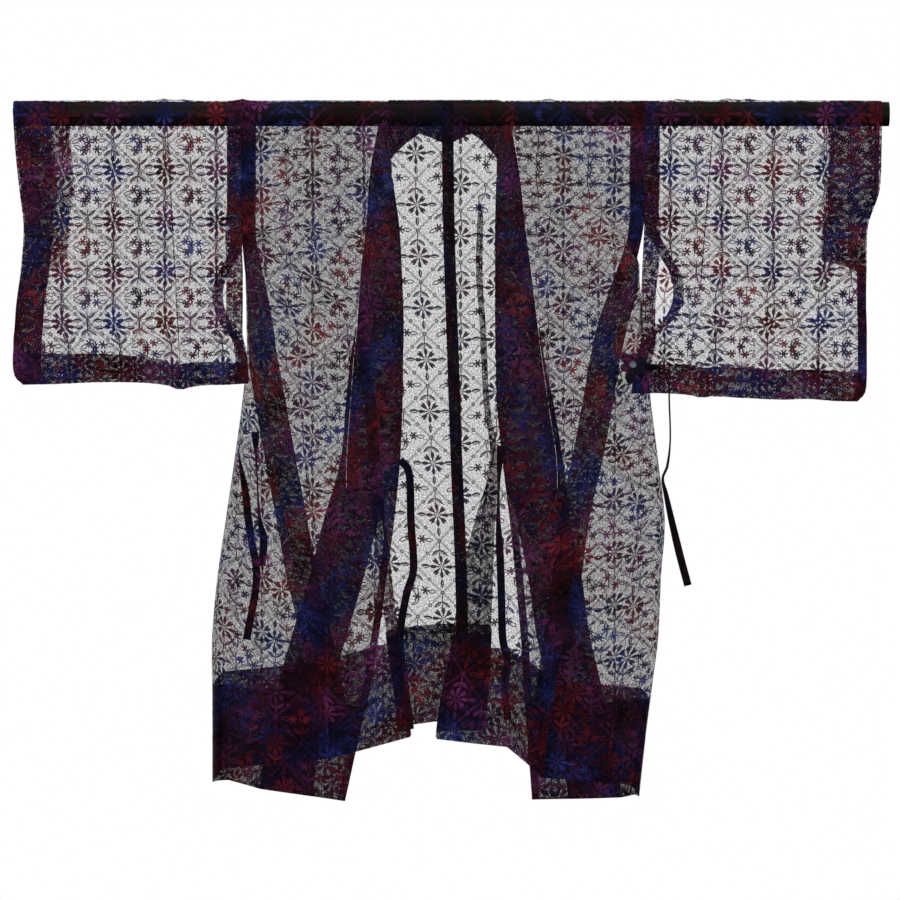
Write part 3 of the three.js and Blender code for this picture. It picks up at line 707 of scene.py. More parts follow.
    def group(self) -> bpy.types.NodeTree:
        """The pattern as a shader node group, made once.

        Returns:
            The group, with the input Cloth and the outputs Motif, Dye and Weave.
        """
        if self.name in bpy.data.node_groups:
            return bpy.data.node_groups[self.name]
        tree = bpy.data.node_groups.new(self.name, "ShaderNodeTree")
        tree.interface.new_socket("Cloth", in_out="INPUT", socket_type="NodeSocketVector")
        for socket, kind in (("Motif", "NodeSocketFloat"), ("Dye", "NodeSocketColor"), ("Weave", "NodeSocketFloat")):
            tree.interface.new_socket(socket, in_out="OUTPUT", socket_type=kind)
        pen = NodeSketch(tree)
        given = pen.node("NodeGroupInput").outputs[0]
        x, y, _ = pen.parts(given)
        x, y, half = pen.mul(x, 1 / MM), pen.mul(y, 1 / MM), self.repeat / 2
        sx, sy = pen.wrapped(x, half), pen.wrapped(y, half)
        qx, qy = pen.wrapped(pen.add(x, half), half), pen.wrapped(pen.add(y, half), half)
        motifs = (
            self.star(pen, sx, sy), self.lattice(pen, sx, sy), self.node_arch(pen, x, y), self.spray(pen, qx, qy)
        )
        warp = pen.math("SINE", pen.mul(pen.add(x, y), self.weave_turns))
        weft = pen.math("SINE", pen.mul(pen.sub(x, y), self.weave_turns))
        fleck = pen.noise(given, self.fleck_scale, 0.0, "2D")
        pen.node("NodeGroupOutput", {
            "Motif": pen.most(*motifs),
            "Dye": self.dye(pen, x, y, pen.noise(given, self.dye_scale, 1.0, "2D")),
            "Weave": pen.scaled(warp, pen.mul(weft, self.weave_depth), pen.scaled(fleck, 1.6, -0.3)),
        })
        return tree

    def woven(self, pen: NodeSketch, place: Socket) -> Any:
        """Outputs of the pattern at a place on the cloth."""
        return pen.node("ShaderNodeGroup", {"Cloth": place}, node_tree=self.group()).outputs


class Finish(Protocol):
    """A finish that makes its own material."""

    def make(self) -> bpy.types.Material:
        """The finish as a material."""


def new_material(name: str) -> tuple[bpy.types.Material, NodeSketch, bpy.types.Node]:
    """An empty node material.

    Args:
        name: Name of the material.

    Returns:
        The material, a pen for its nodes, and its Principled shader.
    """
    material = bpy.data.materials.new(name)
    material.use_nodes = True
    material.node_tree.nodes.clear()
    pen = NodeSketch(material.node_tree)
    shader = pen.node("ShaderNodeBsdfPrincipled")
    pen.node("ShaderNodeOutputMaterial", {"Surface": shader.outputs[0]})
    return material, pen, shader


@dataclass(frozen=True)
class NetFinish:
    """Sheer net with the woven flower lattice."""

    name: str
    start: tuple[float, float]
    ground: Colour = linear(8, 8, 12)
    ground_cover: float = 0.44
    least_cover: float = 0.04
    grain: float = 0.5
    motif_cover: float = 0.97
    ground_tint: float = 0.1
    plain_half_width: float = 0.0
    plain_tint: float = 0.25
    plain_blend: float = 60.0
    bump: float = 0.25
    bump_depth: float = 0.0004
    roughness: float = 0.8
    gloss: float = 0.06

    def tint_share(self, pen: NodeSketch) -> Socket:
        """Share of the dyes that shows: less of them in a plain strip about the centre seam, above the turn-up."""
        x, _, z = pen.parts(pen.object_place())
        beside = pen.scaled(pen.size(x), self.plain_blend, -self.plain_blend * self.plain_half_width * MM, clamp=True)
        below = pen.scaled(z, -self.plain_blend, -self.plain_blend * TURN_UP_TOP * MM, clamp=True)
        return pen.scaled(pen.most(beside, below), 1 - self.plain_tint, self.plain_tint)

    def make(self) -> bpy.types.Material:
        """The finish as a material."""
        material, pen, shader = new_material(self.name)
        shift = (-self.start[0] * MM, -self.start[1] * MM, 0)
        mapping = pen.node("ShaderNodeMapping", {"Vector": pen.cloth_place(), "Location": shift})
        woven = FlowerLattice().woven(pen, mapping.outputs[0])
        motif, weave = woven["Motif"], woven["Weave"]
        tint = pen.scaled(motif, 1 - self.ground_tint, self.ground_tint)
        if self.plain_half_width:
            tint = pen.mul(tint, self.tint_share(pen))
        ground = pen.most(pen.scaled(weave, self.grain, self.ground_cover - self.grain / 2), self.least_cover)
        pen.fill(shader, {
            "Base Color": pen.mixed(tint, self.ground, woven["Dye"]),
            "Alpha": pen.scaled(motif, pen.sub(self.motif_cover, ground), ground),
            "Normal": pen.bumped(weave, self.bump, self.bump_depth),
            "Roughness": self.roughness,
            "Specular IOR Level": self.gloss,
        })
        return material


@dataclass(frozen=True)
class TieFinish:
    """The same net folded to a flat ribbon of many layers, nearly black, with its dyes just showing."""

    name: str
    ground: Colour = linear(13, 12, 17)
    tint: float = 0.14
    bump: float = 0.4
    bump_depth: float = 0.0004
    roughness: float = 0.75
    gloss: float = 0.1

    def make(self) -> bpy.types.Material:
        """The finish as a material."""
        material, pen, shader = new_material(self.name)
        woven = FlowerLattice().woven(pen, pen.cloth_place())
        pen.fill(shader, {
            "Base Color": pen.mixed(pen.mul(woven["Motif"], self.tint), self.ground, woven["Dye"]),
            "Normal": pen.bumped(woven["Weave"], self.bump, self.bump_depth),
            "Roughness": self.roughness,
            "Specular IOR Level": self.gloss,
        })
        return material


@dataclass(frozen=True)
class KnotFinish:
    """The tie's net in the rosette: purple on one side, dark blue on the other, pale through its eye."""

    centre: tuple[float, float, float]
    name: str = "rosette net"
    ground: Colour = linear(14, 12, 18)
    purple: Colour = linear(104, 36, 88)
    blue: Colour = linear(26, 28, 52)
    pale: Colour = linear(138, 142, 160)
    thread_scale: float = 260.0
    eye: float = 4.6
    eye_edge: float = 3.0
    roughness: float = 0.75
    gloss: float = 0.1

    def make(self) -> bpy.types.Material:
        """The finish as a material."""
        material, pen, shader = new_material(self.name)
        place = pen.object_place()
        centre = tuple(c * MM for c in self.centre)
        offset = pen.node("ShaderNodeVectorMath", {0: place, 1: centre}, operation="SUBTRACT")
        x, _, z = pen.parts(offset.outputs[0])
        x, z = pen.mul(x, 1 / MM), pen.mul(z, 1 / MM)
        side = pen.scaled(pen.add(x, pen.mul(z, -0.7)), 0.14, 0.5, clamp=True)
        threads = pen.scaled(pen.noise(place, self.thread_scale, 2.0), 4.0, -1.6, clamp=True)
        net = pen.mixed(threads, self.ground, pen.mixed(side, self.purple, self.blue))
        eye = pen.inside(pen.add(pen.length(x, z), -self.eye), self.eye_edge, 0.0)
        pen.fill(shader, {
            "Base Color": pen.mixed(eye, net, self.pale), "Roughness": self.roughness,
            "Specular IOR Level": self.gloss,
        })
        return material


@dataclass(frozen=True)
class RodFinish:
    """Near-black stained wood with a fine lengthwise grain."""

    name: str = "stained rod wood"
    dark: Colour = linear(12, 10, 9)
    light: Colour = linear(30, 25, 22)
    grain_scale: tuple[float, float, float] = (6, 160, 160)
    least_roughness: float = 0.38
    roughness_range: float = 0.2
    bump: float = 0.15
    bump_depth: float = 0.0003
    gloss: float = 0.14

    def make(self) -> bpy.types.Material:
        """The finish as a material."""
        material, pen, shader = new_material(self.name)
        mapping = pen.node("ShaderNodeMapping", {"Vector": pen.object_place(), "Scale": self.grain_scale})
        grain = pen.noise(mapping.outputs[0], 1.0, 4.0)
        pen.fill(shader, {
            "Base Color": pen.mixed(grain, self.dark, self.light),
            "Roughness": pen.scaled(grain, self.roughness_range, self.least_roughness),
            "Normal": pen.bumped(grain, self.bump, self.bump_depth),
            "Specular IOR Level": self.gloss,
        })
        return material


@dataclass(frozen=True)
class PaleFinish:
    """Plain matt white."""

    name: str
    shade: int
    roughness: float = 0.9

    def make(self) -> bpy.types.Material:
        """The finish as a material."""
        material, pen, shader = new_material(self.name)
        pen.fill(shader, {
            "Base Color": (*linear(self.shade, self.shade, self.shade), 1), "Roughness": self.roughness,
            "Specular IOR Level": 0.0,
        })
        return material


@dataclass(frozen=True)
class Line:
    """A line down the near layer: its hem level, and where it lies at each level."""

    hem: float
    place: Place


def between(a: Line, b: Line, share: float) -> Line:
    """A line of the near layer between two others, a share of the way across."""

    def place(level: Array) -> tuple[Array, Array]:
        """Out and lift of the line at each level."""
        (out_a, lift_a), (out_b, lift_b) = a.place(level), b.place(level)
        return lerp(out_a, out_b, share), lerp(lift_a, lift_b, share)

    return Line(lerp(a.hem, b.hem, share), place)


def lines_to(start: Line, end: Line, cells: int) -> list[Line]:
    """Lines evenly spaced from one line to another, without the first."""
    return [between(start, end, (n + 1) / cells) for n in range(cells)]


@dataclass(frozen=True)
class Hems:
    """Levels of a half's hem, from the centre seam round the side to the free edge of the overlap."""

    centre: float
    neck: float
    pleat_back: float
    pleat_front: float
    side: float
    wedge: float
    fold: float
    okumi: float
    edge: float


CENTRE_SEAM = SectionTable(
    ("level", "shift"), [[0, 0], [172, 2], [360, 8], [540, 14], [720, 21], [960, 24]],
)

HALF_COLUMNS = ("level", "side", "fold", "collar", "edge", "okumi", "pleat", "overlap", "neck")


@dataclass(frozen=True)
class Half:
    """Sizes of one half of the coat's body and where its lines hang."""

    name: str
    sign: int
    pleat_outside_neck: bool
    pleat_start: float
    pleat_full: float
    hem: Hems
    table: SectionTable

    def at(self, name: str, level: Any) -> Array:
        """A column of the half's table at some levels."""
        return self.table.at(name, level)

    def side_depth(self, level: Array) -> Array:
        """Depth at which the side seam lies."""
        turned = lerp(DRAPE_RADIUS, SIDE_SEAM_DEPTH, rise(ARMHOLE_DEPTH, SIDE_SEAM_TOP, level))
        near = near_depth(self.sign * self.at("side", level), level)
        return lerp(turned, near, rise(SIDE_SEAM_TOP, SIDE_SEAM_ON_BACK, level))

    def pleat_lines(self) -> list[Line]:
        """The two turns of the back pleat, as lines from the middle of the coat outwards."""

        def turned(is_first: bool, step: int) -> Line:
            """One line of a turn."""
            angle = math.pi * step / PLEAT_STEPS
            climb = PLEAT_SPACING * (1 - math.cos(angle)) / 2

            def place(level: Array) -> tuple[Array, Array]:
                """Out and lift of the line at each level."""
                shut = rise(self.pleat_start, self.pleat_full, level)
                overlap = lerp(PLEAT_UNFOLDED, self.at("overlap", level), shut)
                bulge = PLEAT_SPACING / 2 * math.sin(angle) * shut
                spread = (step / PLEAT_STEPS - 0.5) * PLEAT_SPREAD * (1 - shut)
                out = self.at("pleat", level) + spread + (overlap + bulge if is_first else -bulge)
                return out, shut * (climb if is_first else PLEAT_SPACING + climb)

            share = (0 if is_first else 0.5) + step / PLEAT_STEPS / 2
            return Line(lerp(self.hem.pleat_back, self.hem.pleat_front, share), place)

        return [turned(first, step) for first in (True, False) for step in range(PLEAT_STEPS + 1)]

    def back_lines(self) -> tuple[list[Line], int]:
        """Lines of the back from the centre seam to the side seam, and the index of the one at the neck."""

        def centre(shift: float) -> Place:
            """Place of a line beside the centre seam."""

            def place(level: Array) -> tuple[Array, Array]:
                """Out and lift of the line at each level."""
                out = self.sign * CENTRE_SEAM.at("shift", level) + SEAM_GAP / 2 + shift
                return out, np.zeros_like(out)

            return place

        def neck_place(level: Array) -> tuple[Array, Array]:
            """Out and lift at the neck."""
            climb = 0 if self.pleat_outside_neck else 2 * PLEAT_SPACING
            return self.at("neck", level), climb * rise(self.pleat_start, self.pleat_full, level)

        def side_place(level: Array) -> tuple[Array, Array]:
            """Out and lift at the side seam."""
            out = self.at("side", level) - np.where(level > SIDE_SEAM_TOP - 1, SEAM_GAP / 2, 0)
            return out, self.side_depth(level) - near_depth(self.sign * out, level)

        first, band = Line(self.hem.centre, centre(0)), Line(self.hem.centre, centre(SEAM_BAND_WIDTH))
        neck, side = Line(self.hem.neck, neck_place), Line(self.hem.side, side_place)
        seam = [first, *lines_to(first, band, 2)]
        pleat = self.pleat_lines()
        if self.pleat_outside_neck:
            inner = [*seam, *lines_to(band, neck, 8)]
            outer = lines_to(pleat[-1], side, SHOULDER_CELLS - len(pleat))
            return [*inner, *pleat, *outer], len(inner) - 1
        inner = [*seam, *lines_to(band, pleat[0], 4), *pleat[1:], *lines_to(pleat[-1], neck, 2)]
        return [*inner, *lines_to(neck, side, SHOULDER_CELLS)], len(inner) - 1

    def back(self, lines: Sequence[Line], rows: Array) -> Array:
        """Points of the back at some rows."""
        columns = []
        for line in lines:
            level = level_on_line(rows, line.hem)
            out, lift = line.place(level)
            x = self.sign * out
            columns.append(np.stack([x, -(near_depth(x, level) + lift), -level], axis=-1))
        return np.stack(columns, axis=1)

    def front(self, rows: Array) -> Array:
        """Points of the front from the collar round the fold at the side to the side seam, at some rows."""
        wrapped = rise(WRAP_START, WRAP_END, rows)
        columns = []
        for n in range(SHOULDER_CELLS + 1):
            share = min(max((n - FLAT_CELLS) / FOLD_CELLS, 0), 1)
            beyond = min(max((n - FLAT_CELLS - FOLD_CELLS) / WEDGE_CELLS, 0), 1)
            folded = lerp(lerp(self.hem.fold, self.hem.wedge, float(rise(0.5, 1, share))), self.hem.side, beyond)
            hem = lerp(self.hem.okumi, self.hem.fold, n / FLAT_CELLS) if n <= FLAT_CELLS else folded
            level = level_on_line(rows, hem)
            fold = self.at("fold", level)
            front_edge = np.where(level < SIDE_SEAM_TOP, self.at("collar", level), self.at("okumi", level))
            edge, side = front_edge + SEAM_GAP / 2, self.at("side", level) + SEAM_GAP / 2
            far_y, near_y = far_depth(self.sign * fold, level), self.side_depth(level)
            turn_far = np.minimum(FOLD_TURN, fold - edge - FOLD_ROOM)
            turn_near = np.clip(NEAR_TURN_SHARE * (fold - side), NEAR_TURN_LEAST, FOLD_TURN)
            angle = math.pi * share
            turn = turn_far if angle < math.pi / 2 else turn_near
            arc_out = fold - turn + turn * math.sin(angle)
            arc_y = (far_y - near_y) / 2 + (far_y + near_y) / 2 * math.cos(angle)
            if n < FLAT_CELLS:
                out = lerp(edge, fold - turn_far, n / FLAT_CELLS)
                y = far_depth(self.sign * out, level)
            elif n > FLAT_CELLS + FOLD_CELLS:
                out, y = lerp(arc_out, side, beyond), lerp(arc_y, -near_y, beyond)
            else:
                out, y = arc_out, arc_y
            straight = lerp(edge, side, n / SHOULDER_CELLS)
            straight_y = far_depth(self.sign * straight, level)
            columns.append(np.stack(
                [self.sign * lerp(straight, out, wrapped), lerp(straight_y, y, wrapped), -level], axis=-1,
            ))
        return np.stack(columns, axis=1)


LEFT = Half(
    name="left", sign=-1, pleat_outside_neck=True, pleat_start=200, pleat_full=330,
    hem=Hems(centre=938, neck=940, pleat_back=947, pleat_front=963, side=997, wedge=1012, fold=1036,
             okumi=1049, edge=1068),
    table=SectionTable(HALF_COLUMNS, [
        [0, 319, 319, 105, 91, 105, 128, 14, 90],
        [90, 319, 319, 121, 86, 121, 128, 14, 88],
        [172, 319, 319, 127, 75, 127, 128, 14, 85],
        [240, 313, 314, 135, 71, 135, 127, 14, 82],
        [330, 303, 312, 141, 68, 143, 123, 14, 74],
        [380, 296, 312, 146, 69, 151, 120, 14, 70],
        [450, 283, 319, 151, 70, 158, 112, 14, 65],
        [540, 267, 331, 157, 74, 167, 106, 14, 57],
        [630, 250, 344, 157, 83, 192, 98, 15, 48],
        [720, 233, 357, 157, 95, 215, 88, 15, 40],
        [810, 212, 365, 157, 107, 242, 76, 15, 32],
        [890, 195, 365, 157, 120, 264, 66, 14, 26],
        [960, 183, 365, 157, 136, 280, 58, 14, 20],
        [1070, 176, 365, 157, 160, 296, 56, 14, 16],
    ]),
)

RIGHT = Half(
    name="right", sign=1, pleat_outside_neck=False, pleat_start=60, pleat_full=170,
    hem=Hems(centre=938, neck=978, pleat_back=940, pleat_front=966, side=1026, wedge=1036, fold=1058,
             okumi=1062, edge=1066),
    table=SectionTable(HALF_COLUMNS, [
        [0, 306, 306, 96, 80, 96, 50, 4, 80],
        [90, 304, 306, 112, 76, 112, 50, 4, 80],
        [172, 303, 306, 121, 74, 121, 48, 5, 80],
        [240, 289, 298, 130, 74, 130, 46, 6, 80],
        [290, 276, 301, 136, 74, 136, 49, 5, 82],
        [330, 265, 303.4, 141, 74, 143, 52, 5, 84],
        [380, 254, 309.5, 147, 75, 151, 54, 5, 86],
        [450, 242, 316, 157, 77, 165, 58, 5, 92],
        [540, 225, 327, 170, 86, 180, 68, 8, 100],
        [630, 205, 337, 170, 97, 191, 44, 27, 100],
        [720, 193, 331, 170, 106, 208, 23, 45, 98],
        [810, 180, 327, 170, 114, 221, 9, 55, 96],
        [890, 166, 317, 170, 119, 240, -6, 66, 94],
        [960, 154, 308, 170, 124, 255, -16, 67, 92],
        [1070, 143, 296, 170, 132, 273, -20, 67, 90],
    ]),
)


ROD_RIPPLES = SectionTable(
    ("x", "lift"),
    [[-680, 0], [-560, 0.4], [-455, 0.6], [-440, 3.6], [-424, 0.8], [-412, 2.6], [-396, 0.3], [-330, 0.4],
     [-320, 3.4], [-306, 0.4], [-200, 0.8], [-120, 0.2], [60, 0.3], [144, 0.6], [156, 3.2], [170, 0.4],
     [262, 0.3], [345, 0.6], [358, 3.0], [374, 0.6], [420, 0.8], [434, 3.8], [452, 1.2], [468, 3.2],
     [484, 0.6], [520, 0.3], [600, 0.6], [690, 0]],
)


def on_rod(x: Array, angle: Array) -> Array:
    """Points on the cloth over the rod: the angle runs from the near side over the top to the far side."""
    angle = np.broadcast_to(angle, np.shape(x))
    loose = DRAPE_RADIUS + ROD_RIPPLES.at("lift", x) * np.clip(np.sin(angle), 0, 1) ** 2
    return np.stack([x, -DRAPE_RADIUS * np.cos(angle), loose * np.sin(angle)], axis=-1)


def dress(piece: bpy.types.Object, finish: Finish, slot: str, *nodes: str) -> None:
    """Gives a piece its finish and its body, and hides the CAD nodes that it stands for."""
    piece.data.materials.append(finish.make())
    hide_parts(*nodes)
    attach(piece, "root")
    LOG.info("%s: %d faces, %.3f square metres", piece.name, len(piece.data.polygons), area_of(piece))


@dataclass
class BodyLength:
    """One body length: from the back hem over the shoulder to the front hem, cut out at the neck."""

    half: Half
    start: tuple[float, float]
    width: float = 0.36
    cut_length: float = 2.62
    side_allowance: float = 34.0
    front_allowance: float = 14.0
    armhole_allowance: float = 22.0
    side_layers: int = 3
    centre_band: float = 9.4
    centre_layers: int = 6
    centre_spacing: float = 0.5
    plain_half_width: float = 76.0

    def build(self) -> bpy.types.Object:
        """Makes the length with its turn-ups and allowances.

        Returns:
            The piece.
        """
        half = self.half
        rows = cross_rows(0, BODY_LENGTH)
        lines, neck = half.back_lines()
        back = half.back(lines, rows[::-1])
        front = half.front(rows)
        padded = np.concatenate([np.repeat(back[-1:, :neck], len(rows), axis=0), front], axis=1)
        shares = np.arange(1, ROD_STEPS) / ROD_STEPS
        over = []
        for share in shares:
            x = lerp(back[-1, :, 0], np.concatenate([back[-1, :neck, 0], front[0, :, 0]]), share)
            over.append(on_rod(x, np.full(len(x), math.pi * share)))
        points = np.concatenate([back, np.stack(over), padded])
        top = len(back) - 1 + ROD_STEPS // 2
        first_out = np.abs(points[:, 0, 0])
        front_start = front[:, 0, 0] * half.sign
        across, along = cloth_measures(points, first_out, top)
        front_rows = slice(len(back) - 1 + ROD_STEPS, None)
        shift = front_start - across[front_rows, neck]
        across[front_rows, neck:] += shift[:, None]
        for n, share in enumerate(shares):
            row = len(back) + n
            across[row, neck:] = lerp(across[len(back) - 1, neck:], across[front_rows.start, neck:], share)
        keep = np.ones((len(points) - 1, points.shape[1] - 1), bool)
        keep[top:, :neck] = False
        cloth = Cloth(points, across, -along, keep)
        piece = make_piece(f"body_{half.name}_cloth", [cloth, *self.layers(cloth, len(back), top, neck)])
        finish = NetFinish(f"net of body {half.name}", start=self.start, plain_half_width=self.plain_half_width)
        dress(piece, finish, "net_cloth", f"body_{half.name}")
        return piece

    def layers(self, cloth: Cloth, back_rows: int, top: int, neck: int) -> list[Cloth]:
        """The turned-up hems and the allowances at the side, armhole and centre seams.

        Args:
            cloth: The whole length.
            back_rows: Number of rows on the near side.
            top: Row on top of the rod.
            neck: Column at the neck.

        Returns:
            The further layers.
        """
        inward = self.half.sign * LAYER_GAP
        back = cloth.part(slice(0, top), slice(None))
        front = cloth.part(slice(top, None), slice(neck, None))
        levels = np.abs(cloth.points[:, -1, 2])
        is_back = np.arange(len(levels)) < back_rows
        wide = np.where(is_back, self.side_allowance, self.front_allowance)
        widths = lerp(self.armhole_allowance, wide, rise(ARMHOLE_DEPTH, SIDE_SEAM_TOP, levels))
        side = cloth.part(slice(None), slice(neck, None))
        layers = [
            *back.hem(Edge.FIRST_ROW, TURN_UP_DEPTH, TURN_UP_CELLS, inward, TURN_UP_LAYERS),
            *front.hem(Edge.LAST_ROW, TURN_UP_DEPTH, TURN_UP_CELLS, inward, TURN_UP_LAYERS),
            *side.hem(Edge.LAST_COLUMN, widths, 4, inward, self.side_layers, SEAM_LAP),
        ]
        seam, inward = back.part(slice(None), slice(0, neck)), inward * self.centre_spacing
        return layers + seam.hem(Edge.FIRST_COLUMN, self.centre_band, 2, inward, self.centre_layers, SEAM_LAP)


@dataclass
class OverlapPanel:
    """The overlap panel between a front and its free edge; its upper part is a tongue beside the collar."""

    half: Half
    start: tuple[float, float]
    width: float = 0.45
    cut_length: float = 1.34
    cut_area: float = 0.4
    allowance: float = 84.0
    allowance_layers: int = 4
    allowance_spacing: float = 1.3
    tongue_allowance: float = 400.0
    tongue_spacing: float = 0.7
    free_hem: float = 12.0
    upper_free_hem: float = 32.0
    free_hem_blend: tuple[float, float] = (COLLAR_END - 4, COLLAR_END + 62)
    free_hem_layers: int = 3
    tongue_cells: int = 8
    cells: int = 24

    def build(self) -> bpy.types.Object:
        """Makes the panel with its turn-up, its wide allowance and the narrow hem at its free edge.

        Returns:
            The piece.
        """
        half = self.half
        rows = cross_rows(SIDE_SEAM_TOP, BODY_LENGTH)
        columns = []
        for n in range(self.cells + 1):
            level = level_on_line(rows, lerp(half.hem.okumi, half.hem.edge, n / self.cells))
            outer = half.at("okumi", level) - SEAM_GAP / 2
            lower = lerp(half.at("okumi", level), half.at("edge", level), self.tongue_cells / self.cells)
            tongue = np.where(rows <= COLLAR_END, half.at("collar", level) + SEAM_GAP / 2, lower)
            rest = (n - self.tongue_cells) / (self.cells - self.tongue_cells)
            in_tongue = lerp(outer, tongue, n / self.tongue_cells)
            out = in_tongue if rest <= 0 else lerp(tongue, half.at("edge", level), rest)
            x = half.sign * out
            columns.append(np.stack([x, far_depth(x, level), -level], axis=-1))
        points = np.stack(columns, axis=1)
        across, along = cloth_measures(points, half.sign * points[:, 0, 0], 0)
        across = 2 * across[:, :1] - across
        keep = np.ones((len(points) - 1, self.cells), bool)
        keep[rows[:-1] < COLLAR_END, self.tongue_cells:] = False
        cloth = Cloth(points, across, -along - SIDE_SEAM_TOP, keep)
        inward = -half.sign * LAYER_GAP
        lower = cloth.part(rows >= COLLAR_END, slice(None))
        tongue = cloth.part(rows <= COLLAR_END, slice(0, self.tongue_cells + 1))
        tongue.points = tongue.points.copy()
        tongue.points[:, -1, 0] -= half.sign * SEAM_LAP
        free_hem = lerp(self.upper_free_hem, self.free_hem, rise(*self.free_hem_blend, rows[rows >= COLLAR_END]))
        wide, narrow = inward * self.allowance_spacing, inward * self.tongue_spacing
        layers = [
            *lower.hem(Edge.LAST_ROW, TURN_UP_DEPTH, TURN_UP_CELLS, inward, TURN_UP_LAYERS),
            *lower.hem(Edge.FIRST_COLUMN, self.allowance, 10, wide, self.allowance_layers, SEAM_LAP),
            *tongue.hem(Edge.FIRST_COLUMN, self.tongue_allowance, 6, narrow, self.allowance_layers, SEAM_LAP),
            *lower.hem(Edge.LAST_COLUMN, free_hem, 4, inward, self.free_hem_layers),
        ]
        piece = make_piece(f"overlap_{half.name}_cloth", [cloth, *layers])
        dress(piece, NetFinish(f"net of overlap {half.name}", start=self.start), "net_cloth", f"overlap_{half.name}")
        return piece


def far_points(x: Array, down: Array) -> Array:
    """Points of the far layer, by their distance down the cloth from the top of the rod."""
    level = down - QUARTER
    hung = np.stack([x, far_depth(x, np.maximum(level, 0)), -level], axis=-1)
    bent = on_rod(x, np.minimum(math.pi / 2 + down / DRAPE_RADIUS, math.pi))
    return np.where((down < QUARTER)[..., None], bent, hung)


@dataclass
class Collar:
    """The collar, from the end of one front round the neck to the end of the other, folded lengthwise."""

    start: tuple[float, float]
    flat: tuple[float, float] = (0.3, 1.35)
    layers: int = 5
    cells: int = 12
    row_step: float = 12.0
    rod_share: float = 0.34
    top_level: float = 60.0
    top_free_level: float = 96.0
    lower_end: float = COLLAR_END + 7
    arches: tuple[tuple[float, float], ...] = (
        (-84, 63), (-74, 53), (-59, 39), (-43, 29), (-27, 35), (-3, 45),
        (20, 37), (36, 28), (51, 38), (65, 53), (74, 63),
    )
    corners: tuple[tuple[float, float], ...] = ((0, 88), (0.25, 82), (0.5, 75), (0.75, 69))

    def side_rows(self, half: Half) -> list[list[float]]:
        """Seam and free edge of one side from its lower end up to the neck: x and distance down of each."""
        rows = []
        for row_level in cross_rows(self.top_level, self.lower_end, self.row_step)[::-1]:
            level = float(level_on_line(row_level, half.hem.okumi))
            free = self.top_free_level if row_level == self.top_level else max(level, self.top_free_level + 1)
            seam_x = half.sign * (float(half.at("collar", level)) - SEAM_GAP / 2)
            free_x = half.sign * float(half.at("edge", max(level, self.top_level)))
            rows.append([seam_x, QUARTER + level, free_x, QUARTER + free])
        for share, free_level in self.corners:
            seam_x = half.sign * (float(lerp(half.at("collar", 0), half.at("neck", 0), share)) - SEAM_GAP / 2)
            free_x = half.sign * float(half.at("edge", free_level))
            rows.append([seam_x, QUARTER * (1 - share), free_x, QUARTER + free_level])
        return rows

    def build(self) -> bpy.types.Object:
        """Makes the collar as one sheet that is folded to and fro.

        Returns:
            The piece.
        """
        neck = []
        ends = [half.sign * (float(half.at("neck", 0)) - SEAM_GAP / 2) for half in (LEFT, RIGHT)]
        for n, (out, level) in enumerate(self.arches):
            neck.append([lerp(*ends, n / (len(self.arches) - 1)), SEAM_GAP / 2, out, QUARTER + level])
        rows = np.array(self.side_rows(LEFT) + neck + self.side_rows(RIGHT)[::-1])
        seam_x, seam_down, free_x, free_down = (rows[:, n] for n in range(4))
        over_rod = np.maximum((QUARTER - seam_down) / np.maximum(free_down - seam_down, 1), self.rod_share)
        columns = []
        for n in range(self.cells + 1):
            bend = self.cells * 2 // 3
            share = over_rod * n / bend if n <= bend else lerp(over_rod, 1, (n - bend) / (self.cells - bend))
            columns.append(far_points(lerp(seam_x, free_x, share), lerp(seam_down, free_down, share)))
        points = np.stack(columns, axis=1)
        across, along = cloth_measures(points, np.zeros(len(points)), 0)
        along = np.repeat(along[:, :1], along.shape[1], axis=1)
        layer = Cloth(points, across, along)
        stack = [layer.moved(LAYER_GAP * (n - (self.layers - 1) / 2)) for n in range(self.layers)]
        width = across[:, -1:]
        folded_points, folded_across = [], []
        for n, sheet in enumerate(stack):
            order = slice(None, None, -1) if n % 2 else slice(None)
            folded_points.append(sheet.points[:, order])
            measure = width * n + (width - across[:, order] if n % 2 else across[:, order])
            folded_across.append(measure)
        grid = Cloth(
            np.concatenate(folded_points, axis=1), np.concatenate(folded_across, axis=1),
            np.concatenate([along + 2 * LAYER_SLIP * n for n in range(self.layers)], axis=1),
        )
        piece = make_piece("collar_cloth", [grid])
        dress(piece, NetFinish("net of collar", start=self.start), "collar_cloth", "collar")
        return piece


SLEEVE_COLUMNS = ("level", "near_edge", "far_edge", "cuff")


